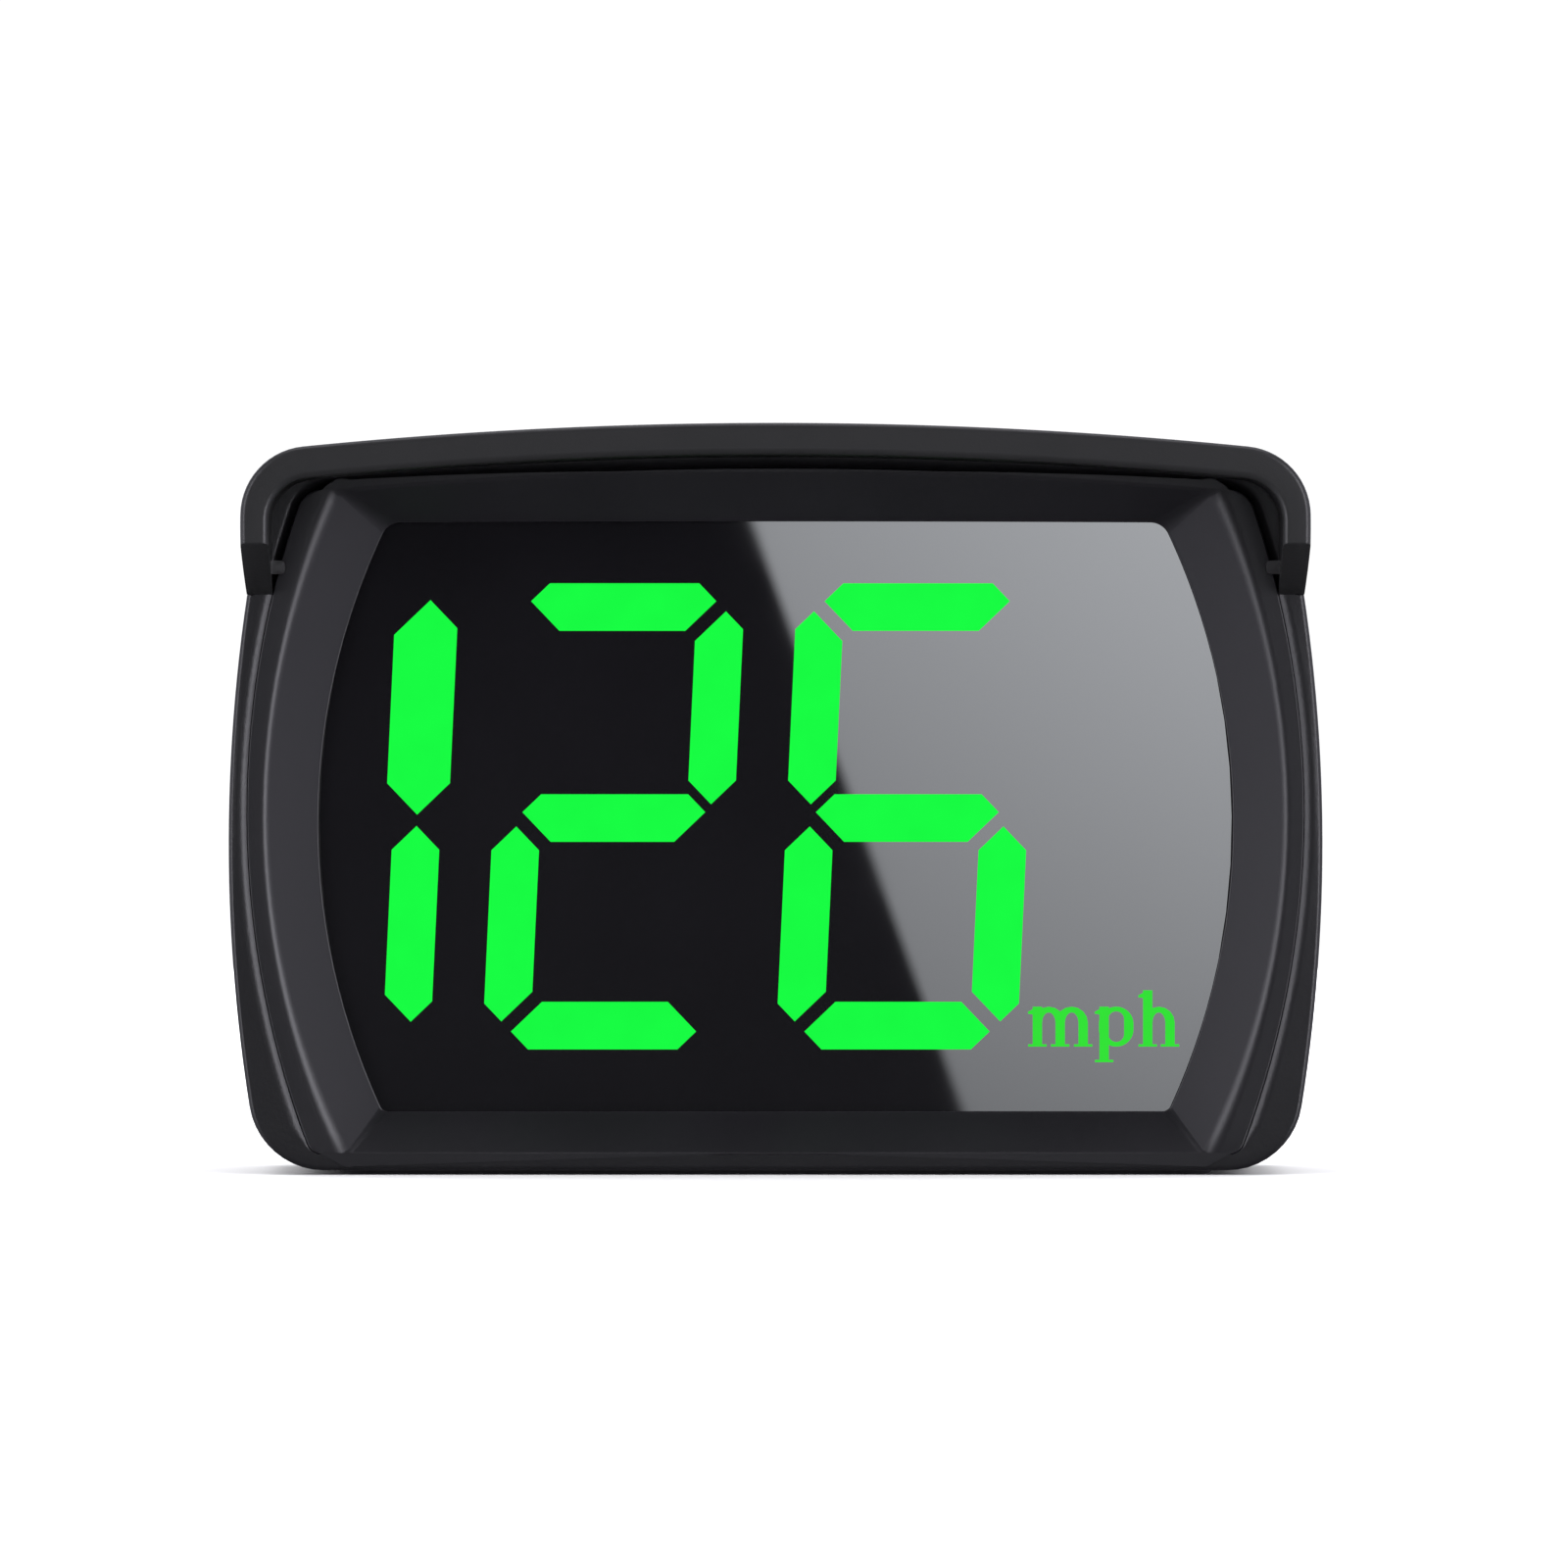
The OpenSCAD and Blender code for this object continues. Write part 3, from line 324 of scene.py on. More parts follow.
# %% [markdown]
# ## Moulded plastic
# The case is black ABS from a spark-eroded mould, which leaves a grain of about a fifth
# of a millimetre. An image texture would need unwrapping; noise on object coordinates
# needs nothing and has the same scale everywhere. A second, slow noise changes the gloss
# a little from place to place, as handling does. Rubbed edges come from the Bevel node,
# which knows where an edge is without any painting. First come the helpers for all that.

# %% Nodes, ramps and rubbed edges
def node(tree, kind, links=None, **values):
    """Adds a node, sets its properties or sockets by name, and links its inputs."""
    n = tree.nodes.new(kind)
    for key, value in values.items():
        if hasattr(n, key):
            setattr(n, key, value)
        else:
            n.inputs[key.replace("_", " ")].default_value = value
    for key, source in (links or {}).items():
        tree.links.new(source, n.inputs[key])
    return n


def ramp(tree, source, low, high, to_low, to_high):
    """Maps a value from the span low..high to the span to_low..to_high."""
    n = node(tree, "ShaderNodeMapRange", {"Value": source})
    spans = {"From Min": low, "From Max": high, "To Min": to_low, "To Max": to_high}
    for key, value in spans.items():
        n.inputs[key].default_value = value
    return n.outputs["Result"]


def worn_edges(tree, speckle, reach):
    """A mask that is 1 on rubbed edges. A normal averaged over `reach` leans away from
    the true one near an edge only, so one minus their dot product picks edges out. The
    speckle breaks the mask up."""
    rounded = node(tree, "ShaderNodeBevel", samples=4, Radius=reach)
    true = node(tree, "ShaderNodeNewGeometry")
    dot = node(tree, "ShaderNodeVectorMath", {0: rounded.outputs[0], 1: true.outputs["Normal"]},
               operation="DOT_PRODUCT")
    near = ramp(tree, dot.outputs["Value"], 0.985, 0.90, 0, 1)
    patchy = ramp(tree, speckle, 0.42, 0.60, 0, 1)
    return node(tree, "ShaderNodeMath", {0: near, 1: patchy}, operation="MULTIPLY").outputs[0]


slots_wanted = {m["slot"] for m in frame["record"]["materials"]}
print("finishes the record asks for", len(slots_wanted))

# %% [markdown]
# ## One recipe for every finish
# Plastic, rubber, boards and steel differ in colour, gloss and grain. One recipe with
# these as settings makes them all. A node tree for each would allow more, but then a
# better idea for the grain would have to be copied two dozen times.

# %% Finish
WEAR_REACH = 0.12 * mm
WEAR_POLISH = 0.3
SLOW_SCALE = 120.0


def finish(name, color, rough, grain=0.2, depth=0.01, spread=0.02, tint=0.08, metal=0.0,
           specular=0.5, coat=0.0, flat=None, wear=0.0):
    """A moulded, plated or polished surface. grain is the bump's size and depth its
    height, both in millimetres; spread is how much the roughness wanders, tint how much
    the colour does. flat stretches the grain along an axis, as brushing does. wear makes
    rubbed edges lighter, and as much glossier as handling does."""
    mat = bpy.data.materials.new(name)
    mat.use_nodes = True
    tree = mat.node_tree
    shader = tree.nodes["Principled BSDF"]
    place = node(tree, "ShaderNodeTexCoord").outputs["Object"]
    if flat:
        place = node(tree, "ShaderNodeMapping", {"Vector": place}, Scale=flat).outputs["Vector"]
    fine = node(tree, "ShaderNodeTexNoise", {"Vector": place}, Scale=1 / (grain * mm), Detail=3.0)
    slow = node(tree, "ShaderNodeTexNoise", {"Vector": place}, Scale=SLOW_SCALE, Detail=4.0)
    gloss = ramp(tree, slow.outputs["Fac"], 0.3, 0.7, rough - spread, rough + spread)
    blend = ramp(tree, slow.outputs["Fac"], 0.3, 0.7, 0, 1)
    shade = node(tree, "ShaderNodeMix", {"Factor": blend}, data_type="RGBA")
    colors = [s for s in shade.inputs if s.type == "RGBA"]
    for socket, gain in zip(colors, (1 - tint, 1 + tint)):
        socket.default_value = (*[min(1.0, c * gain) for c in color], 1.0)
    tone = [s for s in shade.outputs if s.type == "RGBA"][0]
    if wear:
        rubbed = worn_edges(tree, slow.outputs["Fac"], WEAR_REACH)
        gloss = node(tree, "ShaderNodeMath", {0: rubbed, 2: gloss}, operation="MULTIPLY_ADD")
        gloss.inputs[1].default_value = -WEAR_POLISH * rough
        gloss = gloss.outputs[0]
        lightening = ramp(tree, rubbed, 0, 1, 1, 1 + wear)
        lighter = node(tree, "ShaderNodeVectorMath", {0: tone, "Scale": lightening},
                       operation="SCALE")
        tone = lighter.outputs["Vector"]
    tree.links.new(gloss, shader.inputs["Roughness"])
    tree.links.new(tone, shader.inputs["Base Color"])
    bump = node(tree, "ShaderNodeBump", {"Height": fine.outputs["Fac"]}, Strength=1.0,
                Distance=depth * mm)
    tree.links.new(bump.outputs["Normal"], shader.inputs["Normal"])
    shader.inputs["Metallic"].default_value = metal
    shader.inputs["Specular IOR Level"].default_value = specular
    shader.inputs["Coat Weight"].default_value = coat
    return mat


print("rubbed edges reach", WEAR_REACH / mm, "mm")

# %% [markdown]
# ## Lit bars
# The bars of the digits send light out instead of reflecting it, so they have a recipe
# of their own. Lamps behind a clear diffuser would be the real thing, and very slow to
# render. Emission looks the same. Its spill on the black plastic is held back, because
# a white studio drowns it.

# %% Lit
LIT_SPILL = 0.05


def lit(name, color, strength):
    """A glowing diffuser. Its strength wanders by two hundredths, as the resin's filler
    does. The camera sees all of the light, its surroundings a twentieth."""
    mat = bpy.data.materials.new(name)
    mat.use_nodes = True
    tree = mat.node_tree
    shader = tree.nodes["Principled BSDF"]
    place = node(tree, "ShaderNodeTexCoord").outputs["Object"]
    cloud = node(tree, "ShaderNodeTexNoise", {"Vector": place}, Scale=400.0, Detail=2.0)
    power = ramp(tree, cloud.outputs["Fac"], 0.3, 0.7, strength * 0.98, strength * 1.02)
    looked_at = node(tree, "ShaderNodeLightPath").outputs["Is Camera Ray"]
    spill = node(tree, "ShaderNodeMath", {0: power, 1: ramp(tree, looked_at, 0, 1, LIT_SPILL, 1)},
                 operation="MULTIPLY")
    tree.links.new(spill.outputs[0], shader.inputs["Emission Strength"])
    shader.inputs["Emission Color"].default_value = (*color, 1.0)
    shader.inputs["Base Color"].default_value = (0.0, 0.02, 0.0, 1.0)
    shader.inputs["Roughness"].default_value = 0.6
    shader.inputs["Specular IOR Level"].default_value = 0.0
    return mat


print("spill of a lit bar", LIT_SPILL)

# %% [markdown]
# ## The table of finishes
# Black is not one colour. The case sends back seven thousandths of the light and the
# hood eleven, and that is enough to tell them apart. The bezel is smoother than both,
# and the window is polished. Measured values from a swatch would be better; these were
# found by comparing greys side by side.

# %% A finish for every slot
SETTINGS = {
    "case_plastic": dict(color=(0.0070, 0.0068, 0.0082), rough=0.36, grain=0.22, depth=0.012,
                         wear=0.6),
    "bezel_plastic": dict(color=(0.0086, 0.0082, 0.0102), rough=0.34, grain=0.12, depth=0.004),
    "hood_plastic": dict(color=(0.0110, 0.0110, 0.0118), rough=0.38, grain=0.16, depth=0.008,
                         wear=0.8),
    "control_plastic": dict(color=(0.010, 0.010, 0.011), rough=0.36, grain=0.14, depth=0.006,
                            wear=0.8),
    "window_panel": dict(color=(0.0048, 0.0046, 0.0056), rough=0.014, grain=12.0, depth=0.00005,
                         spread=0.004),
    "pad_rubber": dict(color=(0.015, 0.015, 0.016), rough=0.75, grain=0.4, depth=0.03),
    "tape_foam": dict(color=(0.01, 0.01, 0.01), rough=0.8, grain=0.3, depth=0.01),
    "mask_film": dict(color=(0.006, 0.006, 0.007), rough=0.6, grain=0.1, depth=0.002),
    "white_plastic": dict(color=(0.75, 0.75, 0.72), rough=0.4, grain=0.2, depth=0.006, tint=0.02),
    "dark_segments": dict(color=(0.012, 0.012, 0.013), rough=0.1, grain=0.5, depth=0.002),
    "circuit_board": dict(color=(0.018, 0.11, 0.045), rough=0.35, grain=0.3, depth=0.01, coat=0.3),
    "led_epoxy": dict(color=(0.85, 0.8, 0.45), rough=0.2, grain=0.5, depth=0.002, tint=0.03),
    "chip_epoxy": dict(color=(0.02, 0.02, 0.022), rough=0.6, grain=0.08, depth=0.006),
    "cell_steel": dict(color=(0.6, 0.6, 0.6), rough=0.3, metal=1.0, flat=(1, 1, 12), depth=0.003),
    "gold_pins": dict(color=(0.75, 0.52, 0.2), rough=0.25, metal=1.0, grain=0.1, depth=0.002),
    "tinned_steel": dict(color=(0.55, 0.56, 0.57), rough=0.32, metal=1.0, flat=(1, 8, 1),
                         depth=0.003),
    "antenna_ceramic": dict(color=(0.55, 0.47, 0.34), rough=0.5, grain=0.15, depth=0.008),
    "ferrite": dict(color=(0.03, 0.03, 0.034), rough=0.7, grain=0.1, depth=0.01),
    "capacitor_can": dict(color=(0.6, 0.61, 0.63), rough=0.3, metal=1.0, flat=(1, 1, 10),
                          depth=0.003),
    "capacitor_ceramic": dict(color=(0.42, 0.3, 0.16), rough=0.5, grain=0.1, depth=0.004),
    "screw_steel": dict(color=(0.5, 0.5, 0.51), rough=0.3, metal=1.0, grain=0.1, depth=0.003),
    "black_steel": dict(color=(0.035, 0.035, 0.038), rough=0.32, metal=0.9, grain=0.1,
                        depth=0.003),
}
FINISHES = {name: finish(name, **settings) for name, settings in SETTINGS.items()}
FINISHES["lit_segments"] = lit("lit_segments", (0.0092, 0.94, 0.0562), 1.0)
FINISHES["lit_legend"] = lit("lit_legend", (0.034, 0.73, 0.0395), 1.0)
print("finishes", len(FINISHES), "missing", sorted(slots_wanted - set(FINISHES)))

# %% [markdown]
# ## Dress the nodes that stay
# The boards, chips, sockets and screws keep the shape they came with. Only bits of them
# show, through the vents and the socket, so a finish is all they need. The record says
# which one belongs to which node. New pieces go through one function as well, so none of
# them can miss its finish, its body or the node it stands for.

# %% Paint and place
node_slot = {s["node"]: s["material_slot"] for s in frame["record"]["subparts"]}


def paint(obj, slot):
    """Gives every material slot of an object the same finish."""
    if not obj.material_slots:
        obj.data.materials.append(FINISHES[slot])
    for s in obj.material_slots:
        s.material = FINISHES[slot]


def place(obj, body, slot, *nodes):
    """A finished new piece: its finish, the body it moves with, and what it stands for."""
    paint(obj, slot)
    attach(obj, body)
    if nodes:
        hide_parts(*nodes)
    return obj


for name, obj in frame["nodes"].items():
    paint(obj, node_slot[name])
print("nodes painted", len(frame["nodes"]))

# %% [markdown]
# ## Front shell
# The shell is a short tube with a ledge inside that carries the bezel. From the front
# one sees only its lip: a rounded outer edge, a narrow flat, and a wide shallow slope
# down to the bezel. That slope catches the side light as one long bright line. It could
# be a bevel, but a bevel has one width, and this slope fades out towards the foot. Above
# the hood's seam the shell is cut back, so there the same rows follow another outline
# and run down a gutter beside the bezel.

# %% Front shell
def smooth_step(x, low, high):
    """0 below low, 1 above high, and a smooth rise between: 3t squared less 2t cubed."""
    t = np.clip((x - low) / (high - low), 0, 1)
    return t * t * (3 - 2 * t)


FOOT_FADE = (1.2 * mm, 3.0 * mm)
part_r = 0.12 * mm


def shell_rows():
    """Rows of the shell's profile, from its rear inner edge over the outside to the lip,
    down the groove and the bezel's pocket, over the ledge and back."""
    above_foot = smooth_step(RING_Z, *FOOT_FADE)
    groove = (0.01 + 0.03 * above_foot) * mm
    slope_w, slope_d = (0.02 + 0.58 * above_foot) * mm, (0.01 + 0.18 * above_foot) * mm
    seat_y = hood_high[1] + 0.05 * mm
    outer_r, seat_r, tilt = 0.3 * mm, 0.15 * mm, 0.04 * mm
    gutter_w, gutter_d = 0.7 * mm, 0.34 * mm
    floor_y, gutter_y = face_y + 0.55 * mm, lip_y + gutter_d
    ledge_w, touch = 1.3 * mm, 0.01 * mm
    rows = [ring(case_line, part_y, -wall)]
    rows += [ring(case_line, part_y - part_r * (1 - np.cos(t)), -part_r * (1 - np.sin(t)))
             for t in np.linspace(0, np.pi / 2, 4)]
    rows += [ring(case_line, seat_y),
             split(ring(case_line, seat_y), ring(skirt_line, seat_y, -fit))]
    for t in np.linspace(0, np.pi / 2, 8):
        up, inward = 1 - np.sin(t), 1 - np.cos(t)
        rows.append(split(ring(case_line, face_y + tilt + outer_r * up, -outer_r * inward),
                          ring(skirt_line, lip_y + seat_r * up, -fit - seat_r * inward)))
    for s in np.linspace(0, 1, 8):
        down = 1 - np.cos(s * np.pi / 2)
        rows.append(split(ring(bezel_line, face_y + slope_d * s ** 2, groove + slope_w * (1 - s)),
                          ring(bezel_line, lip_y + gutter_d * down, fit + gutter_w * (1 - s))))
    return rows + [split(ring(bezel_line, floor_y, groove), ring(bezel_line, gutter_y, fit)),
                   split(ring(bezel_line, floor_y, touch), ring(bezel_line, gutter_y, fit)),
                   ring(bezel_line, bezel_back_y, touch), ring(window_line, bezel_back_y, ledge_w),
                   ring(window_line, ledge_back_y, ledge_w), ring(case_line, ledge_back_y, -wall)]


shell = place(even_normals(closed_ring_solid("case_front", shell_rows())),
              "case", "case_plastic", "front_shell")

# %% [markdown]
# ## Bezel
# The bezel is a picture frame: a narrow flat strip, a ridge, and a bevel that slopes
# down to the window. The ridge is where the light changes, so it gets a round of its
# own. A bevel modifier would round every edge by the same width. Here the rounds are
# shares of the strip's width, so they stay apart where the strip is narrow.

# %% Bezel
def bezel_rows():
    """Rows of the bezel's profile: back edge, outer side, strip, ridge, bevel, window
    edge, land. The rounds of the strip's two edges are shares of its own width there."""
    strip_w = np.linalg.norm(ring(bezel_line, 0.0) - ring(ridge_line, 0.0), axis=1)
    edge, ridge = 0.02 * mm + 0.04 * strip_w, 0.45 * strip_w
    strip_y = face_y + 0.15 * mm * smooth_step(RING_Z, *FOOT_FADE)
    ridge_d, foot_w, foot_d = 0.04 * mm + 0.36 * ridge, 0.1 * mm, 0.09 * mm
    rows = [ring(bezel_line, bezel_back_y)]
    rows += [ring(bezel_line, strip_y + edge * (1 - np.sin(t)), -edge * (1 - np.cos(t)))
             for t in np.linspace(0, np.pi / 2, 5)]
    rows += [ring(ridge_line, strip_y + ridge_d * t * t, ridge * (1 - t))
             for t in np.linspace(0, 1, 6)]
    rows += [ring(opening_line, window_y - foot_d * t * t, foot_w * t)
             for t in np.linspace(1, 0, 4)]
    return rows + [ring(opening_line, bezel_back_y)]


bezel = place(even_normals(closed_ring_solid("bezel", bezel_rows())),
              "case", "bezel_plastic", "front_bezel")

# %% [markdown]
# ## Hood
# The hood is one bent sheet: a thick rim in front of the face and a thinner skirt that
# wraps the case behind it. It is made as two skins, outer and inner, with matching rows
# and columns, whose borders are then joined. Solidify could thicken a single skin, but
# only evenly, and this wall steps from two millimetres to one behind the rim.

# %% Arches and skins
SLANT_H = 2.95 * mm


def end_height(y):
    """Height of the hood's lower end: level beside the case, rising to the rim's tip."""
    rise = np.clip((face_y - y) / (face_y - hood_low[1]), 0, 1)
    return hood_low[2] + rise * SLANT_H


def arch(o, y, grow=0.0):
    """An open row over the top: up the right side from the lower end, across, and down."""
    points, normals = half_ring(o, low_end=end_height(y))
    points = np.concatenate([points, points[-2::-1] * [-1, 1]])
    normals = np.concatenate([normals, normals[-2::-1] * [-1, 1]])
    flat = points + grow * normals
    return np.stack([flat[:, 0], np.full(len(flat), y), flat[:, 1]], axis=1)


def two_skins(name, outer, inner):
    """A closed solid between two open skins with the same rows and columns: both grids,
    and a band of faces along each of the four borders."""
    rows, cols = len(outer), outer[0].shape[0]
    count = rows * cols
    number = np.arange(count).reshape(rows, cols)
    faces = grid_faces(rows, cols).tolist()
    faces += (grid_faces(rows, cols)[:, ::-1] + count).tolist()
    for border in (number[0], number[-1], number[:, 0], number[:, -1]):
        a, b = border[:-1], border[1:]
        faces += np.stack([a, b, b + count, a + count], axis=1).tolist()
    return build(name, np.concatenate([np.array(outer), np.array(inner)]), faces)


print("hood's end rises by %.2f mm" % ((end_height(hood_low[1]) - end_height(face_y)) / mm))

# %% [markdown]
# ## The hood's profile
# From the back edge forwards, both skins take the same steps: a round at the back, the
# straight skirt, the step behind the rim, and the rim's own round in front. The edge of
# the rim is what one sees most of, so it gets the most rows.

# %% Hood
def hood_skins():
    """Matching rows of the outer and the inner skin, from the back edge to the rim."""
    outer, inner = [], []
    back_r, skirt_r, rim_out, rim_in = 0.3 * mm, 0.1 * mm, 0.35 * mm, 0.4 * mm
    for t in np.linspace(0, np.pi / 2, 5):
        down, out = 1 - np.cos(t), 1 - np.sin(t)
        outer.append(arch(hood_line, hood_high[1] - back_r * down, -back_r * out))
        inner.append(arch(skirt_line, hood_high[1] - skirt_r * down, skirt_r * out))
    step_y = lip_y - fit
    for o, y in ((skirt_line, step_y), (rim_line, step_y), (rim_line, face_y)):
        outer.append(arch(hood_line, y))
        inner.append(arch(o, y, fit if o is rim_line and y > face_y else 0.0))
    for y in np.linspace(face_y, hood_low[1] + rim_out, 5)[1:-1]:
        outer.append(arch(hood_line, y))
        inner.append(arch(rim_line, y))
    for t in np.linspace(0, np.pi / 2, 8):
        ahead, off = 1 - np.sin(t), 1 - np.cos(t)
        outer.append(arch(hood_line, hood_low[1] + rim_out * ahead, -rim_out * off))
        inner.append(arch(rim_line, hood_low[1] + rim_in * ahead, rim_in * off))
    return outer, inner


hood = two_skins("hood_moulding", *hood_skins())

# %% [markdown]
# ## Cutting and joining
# Openings with straight walls are quickest as a boolean: make the solid that fills the
# opening, and take it away. Drawing the openings into the grid would bend every row
# near them. Each cutter is a prism whose outline is a handful of corner arcs.

# %% Prisms
def prism(name, flat, y0, y1):
    """An outline in X and Z, carried from depth y0 to y1, with flat ends."""
    flat = np.asarray(flat)
    rows = [np.stack([flat[:, 0], np.full(len(flat), y), flat[:, 1]], axis=1) for y in (y0, y1)]
    return capped_solid(name, rows)


def round_box(centre, width, height, radius, steps=9):
    """Outline of a rectangle with round corners: four quarter circles in turn."""
    out = []
    for k, (sx, sz) in enumerate(((1, 1), (-1, 1), (-1, -1), (1, -1))):
        middle = centre + np.array([sx * (width / 2 - radius), sz * (height / 2 - radius)])
        out.append(arc(middle, radius, k * np.pi / 2, (k + 1) * np.pi / 2, steps, last=True)[0])
    return np.concatenate(out)


def disc(centre, diameter, steps=48):
    """Outline of a circle."""
    return arc(np.asarray(centre), diameter / 2, 0, 2 * np.pi, steps)[0]


print("points round a disc", len(disc((0, 0), mm)))

# %% [markdown]
# ## Booleans and small rounds
# After a cut the new edges are knife-sharp, and a knife edge shows no highlight. A bevel
# of a tenth of a millimetre brings it back. The modifiers are applied at once, so that
# every later step works on plain meshes.

# %% Booleans
def combine(obj, others, operation):
    """Adds or takes away closed solids, and removes them afterwards."""
    for other in others:
        change = obj.modifiers.new("cut", "BOOLEAN")
        change.operation = operation
        change.solver = "EXACT"
        change.object = other
        bake(obj)
        bpy.data.objects.remove(other)


def settle(obj, sharp=48):
    """Shades a cut solid: smooth, crisp only where edges are sharp, and flat on its flats."""
    obj.data.shade_smooth()
    obj.data.set_sharp_from_angle(angle=np.radians(sharp))
    even_normals(obj)
    print(f"{obj.name}: {len(obj.data.polygons)} faces after cutting and rounding")


def soften(obj, width, limit=40, segments=2):
    """Rounds every edge sharper than the limit, and applies it."""
    bevel = obj.modifiers.new("edges", "BEVEL")
    bevel.width = width
    bevel.segments = segments
    bevel.limit_method = "ANGLE"
    bevel.angle_limit = np.radians(limit)
    bevel.use_clamp_overlap = True
    bevel.harden_normals = False
    bake(obj)
    settle(obj)


# %% [markdown]
# ## Hooks of the hood
# Each arm of the hood ends in a small peg that reaches over the bezel and holds the
# arm down. The pegs could be objects of their own, but then a seam would show where
# they meet the arm. Joined with a boolean, hood and pegs get one round along all edges.

# %% Hooks
hook_x, hook_z = rim_line.half_w - 0.15 * mm, hood_low[2] + 1.6 * mm
hooks = [prism("hook", round_box(np.array([s * hook_x, hook_z]), 1.3 * mm, 0.8 * mm, 0.25 * mm),
               face_y - 1.25 * mm, face_y - 0.06 * mm) for s in (-1, 1)]
combine(hood, hooks, "UNION")
soften(hood, 0.14 * mm, limit=50)
place(hood, "case", "hood_plastic", "hood")

# %% [markdown]
# ## Rear cover
# The cover is a shallow tray with a large round along its rear edge. A cube with
# rounded edges would be quick, but its sides wouldn't bulge like the shell's. The same
# rows as before do, and the two mouldings meet exactly at the parting line.

# %% Rear cover tray
edge_r = 4 * mm
cover_front_y = part_y + fit


def cover_rows():
    """From the rear face round the edge to the parting line, and back up the inside."""
    quarter = np.linspace(0, np.pi / 2, 13)
    inner_r = edge_r - wall
    rows = [ring(case_line, back_y - edge_r * (1 - np.cos(t)), -edge_r * (1 - np.sin(t)))
            for t in quarter]
    rows += [ring(case_line, cover_front_y + part_r * (1 - np.sin(t)), -part_r * (1 - np.cos(t)))
             for t in np.linspace(0, np.pi / 2, 4)]
    rows += [ring(case_line, cover_front_y, -wall)]
    in_y = back_y - wall
    rows += [ring(case_line, in_y - inner_r * (1 - np.sin(t)), -wall - inner_r * (1 - np.cos(t)))
             for t in quarter]
    return rows


cover = capped_solid("rear_tray", cover_rows())

# %% [markdown]
# ## Bosses and wells
# Each corner has a post for a screw, and a well from behind for its head. The wells cut
# into the large round of the edge, so their mouths follow a curved surface. A bevel
# modifier rounds such a mouth well. It is run now, while the rear face has no holes yet.

# %% Screw bosses and wells
half_w, head = case_line.half_w, case_line.head
low_screw = np.array([half_w - 5.2 * mm, case_line.foot + 4.35 * mm])
high_screw = np.array([half_w - 5.5 * mm, head - 4.9 * mm])
screw_places = [p * [s, 1] for p in (low_screw, high_screw) for s in (-1, 1)]
seat_y = part_y + 2 * mm
behind = back_y + 2 * mm
through = back_y - wall - 0.4 * mm

boss_d, well_d, shank_d = 5.3 * mm, 4 * mm, 2.6 * mm
boss_ends = cover_front_y + 0.02 * mm, back_y - wall + 0.2 * mm
shank_ends = cover_front_y - mm, seat_y + 0.1 * mm
bosses = [prism("boss", disc(p, boss_d), *boss_ends) for p in screw_places]
combine(cover, bosses, "UNION")
wells = [prism("well", disc(p, well_d), seat_y, behind) for p in screw_places]
combine(cover, wells, "DIFFERENCE")
shanks = [prism("shank_hole", disc(p, shank_d, 32), *shank_ends) for p in screw_places]
combine(cover, shanks, "DIFFERENCE")
soften(cover, 0.12 * mm, limit=50)

# %% [markdown]
# ## Openings with rounded mouths
# Rounding the edges of many holes in one big flat face leaves slivers between them. So
# the rounding is done by the cutters. Each of them flares out like a trumpet where it
# meets the surface, and what it leaves behind is a rounded mouth. There are openings
# for the button, the slider, the charging socket, warm air and the buzzer, and a blank
# recess where a label would go.

# %% Openings in the rear wall
def middle(node):
    """Middle of a node in X and Z."""
    low, high = extent(node)
    return ((low + high) / 2)[[0, 2]]


button_at, buzzer_at = middle("mode_button"), middle("buzzer")
socket_at = middle("usb_socket_shell")
slider_at = middle("power_slider") + [1 * mm, 0]
label_at = np.array([0, case_mid - 1.25 * mm])
dish_r, dish_depth = 20 * mm, 0.7 * mm


def bowl_y(r):
    """Level of the finger dish at a distance r from its middle: a sphere of radius
    dish_r, whose lowest point lies dish_depth under the rear face."""
    return back_y + (dish_r - dish_depth) - np.sqrt(dish_r ** 2 - r ** 2)


def dish(centre):
    """A cutter for the finger dish: rings of the sphere, and a lid above them."""
    reach = 1.6 * np.sqrt(dish_r ** 2 - (dish_r - dish_depth) ** 2)
    r = np.linspace(reach, reach / 14, 14)[:, None]
    a = np.linspace(0, 2 * np.pi, 64, endpoint=False)[None, :]
    bowl = np.stack([centre[0] + r * np.cos(a), bowl_y(r) + 0 * a, centre[1] + r * np.sin(a)],
                    axis=-1)
    lid = bowl[0].copy()
    lid[:, 1] = behind
    return capped_solid("dish", [lid] + list(bowl))


def mouthed(shape, y0=through, mouth_y=back_y, lip=0.14 * mm):
    """A cutter from depth y0 outwards. shape(g) is its outline pushed out by g. Over the
    last stretch below mouth_y, g follows a quarter circle: lip (1 - cos) at lip (1 - sin)."""
    past = 0.002 * mm
    steps = [(mouth_y - lip * (1 - np.sin(t)) + past, lip * (1 - np.cos(t)))
             for t in np.linspace(0, np.pi / 2, 6)]
    steps = [(y0, 0.0)] + steps + [(behind, lip)]
    return capped_solid("cutter", [np.insert(shape(g), 1, y, axis=1) for y, g in steps])


def box_shape(centre, width, height, radius, steps=9):
    """The outline of a round-cornered box as a function of how far it is pushed out."""
    return lambda g: round_box(centre, width + 2 * g, height + 2 * g, radius + g, steps)


def disc_shape(centre, diameter, steps=48):
    """The same for a circle."""
    return lambda g: disc(centre, diameter + 2 * g, steps)


print("button at", np.round(button_at / mm, 2), "socket at", np.round(socket_at / mm, 2))

# %% [markdown]
# ## Cutting the openings
# The order matters a little. The finger dish goes first, because the button's hole has
# its mouth at the bottom of the dish. The other cutters don't touch each other, so they
# can follow in any order. Shading is settled once, after the last cut.

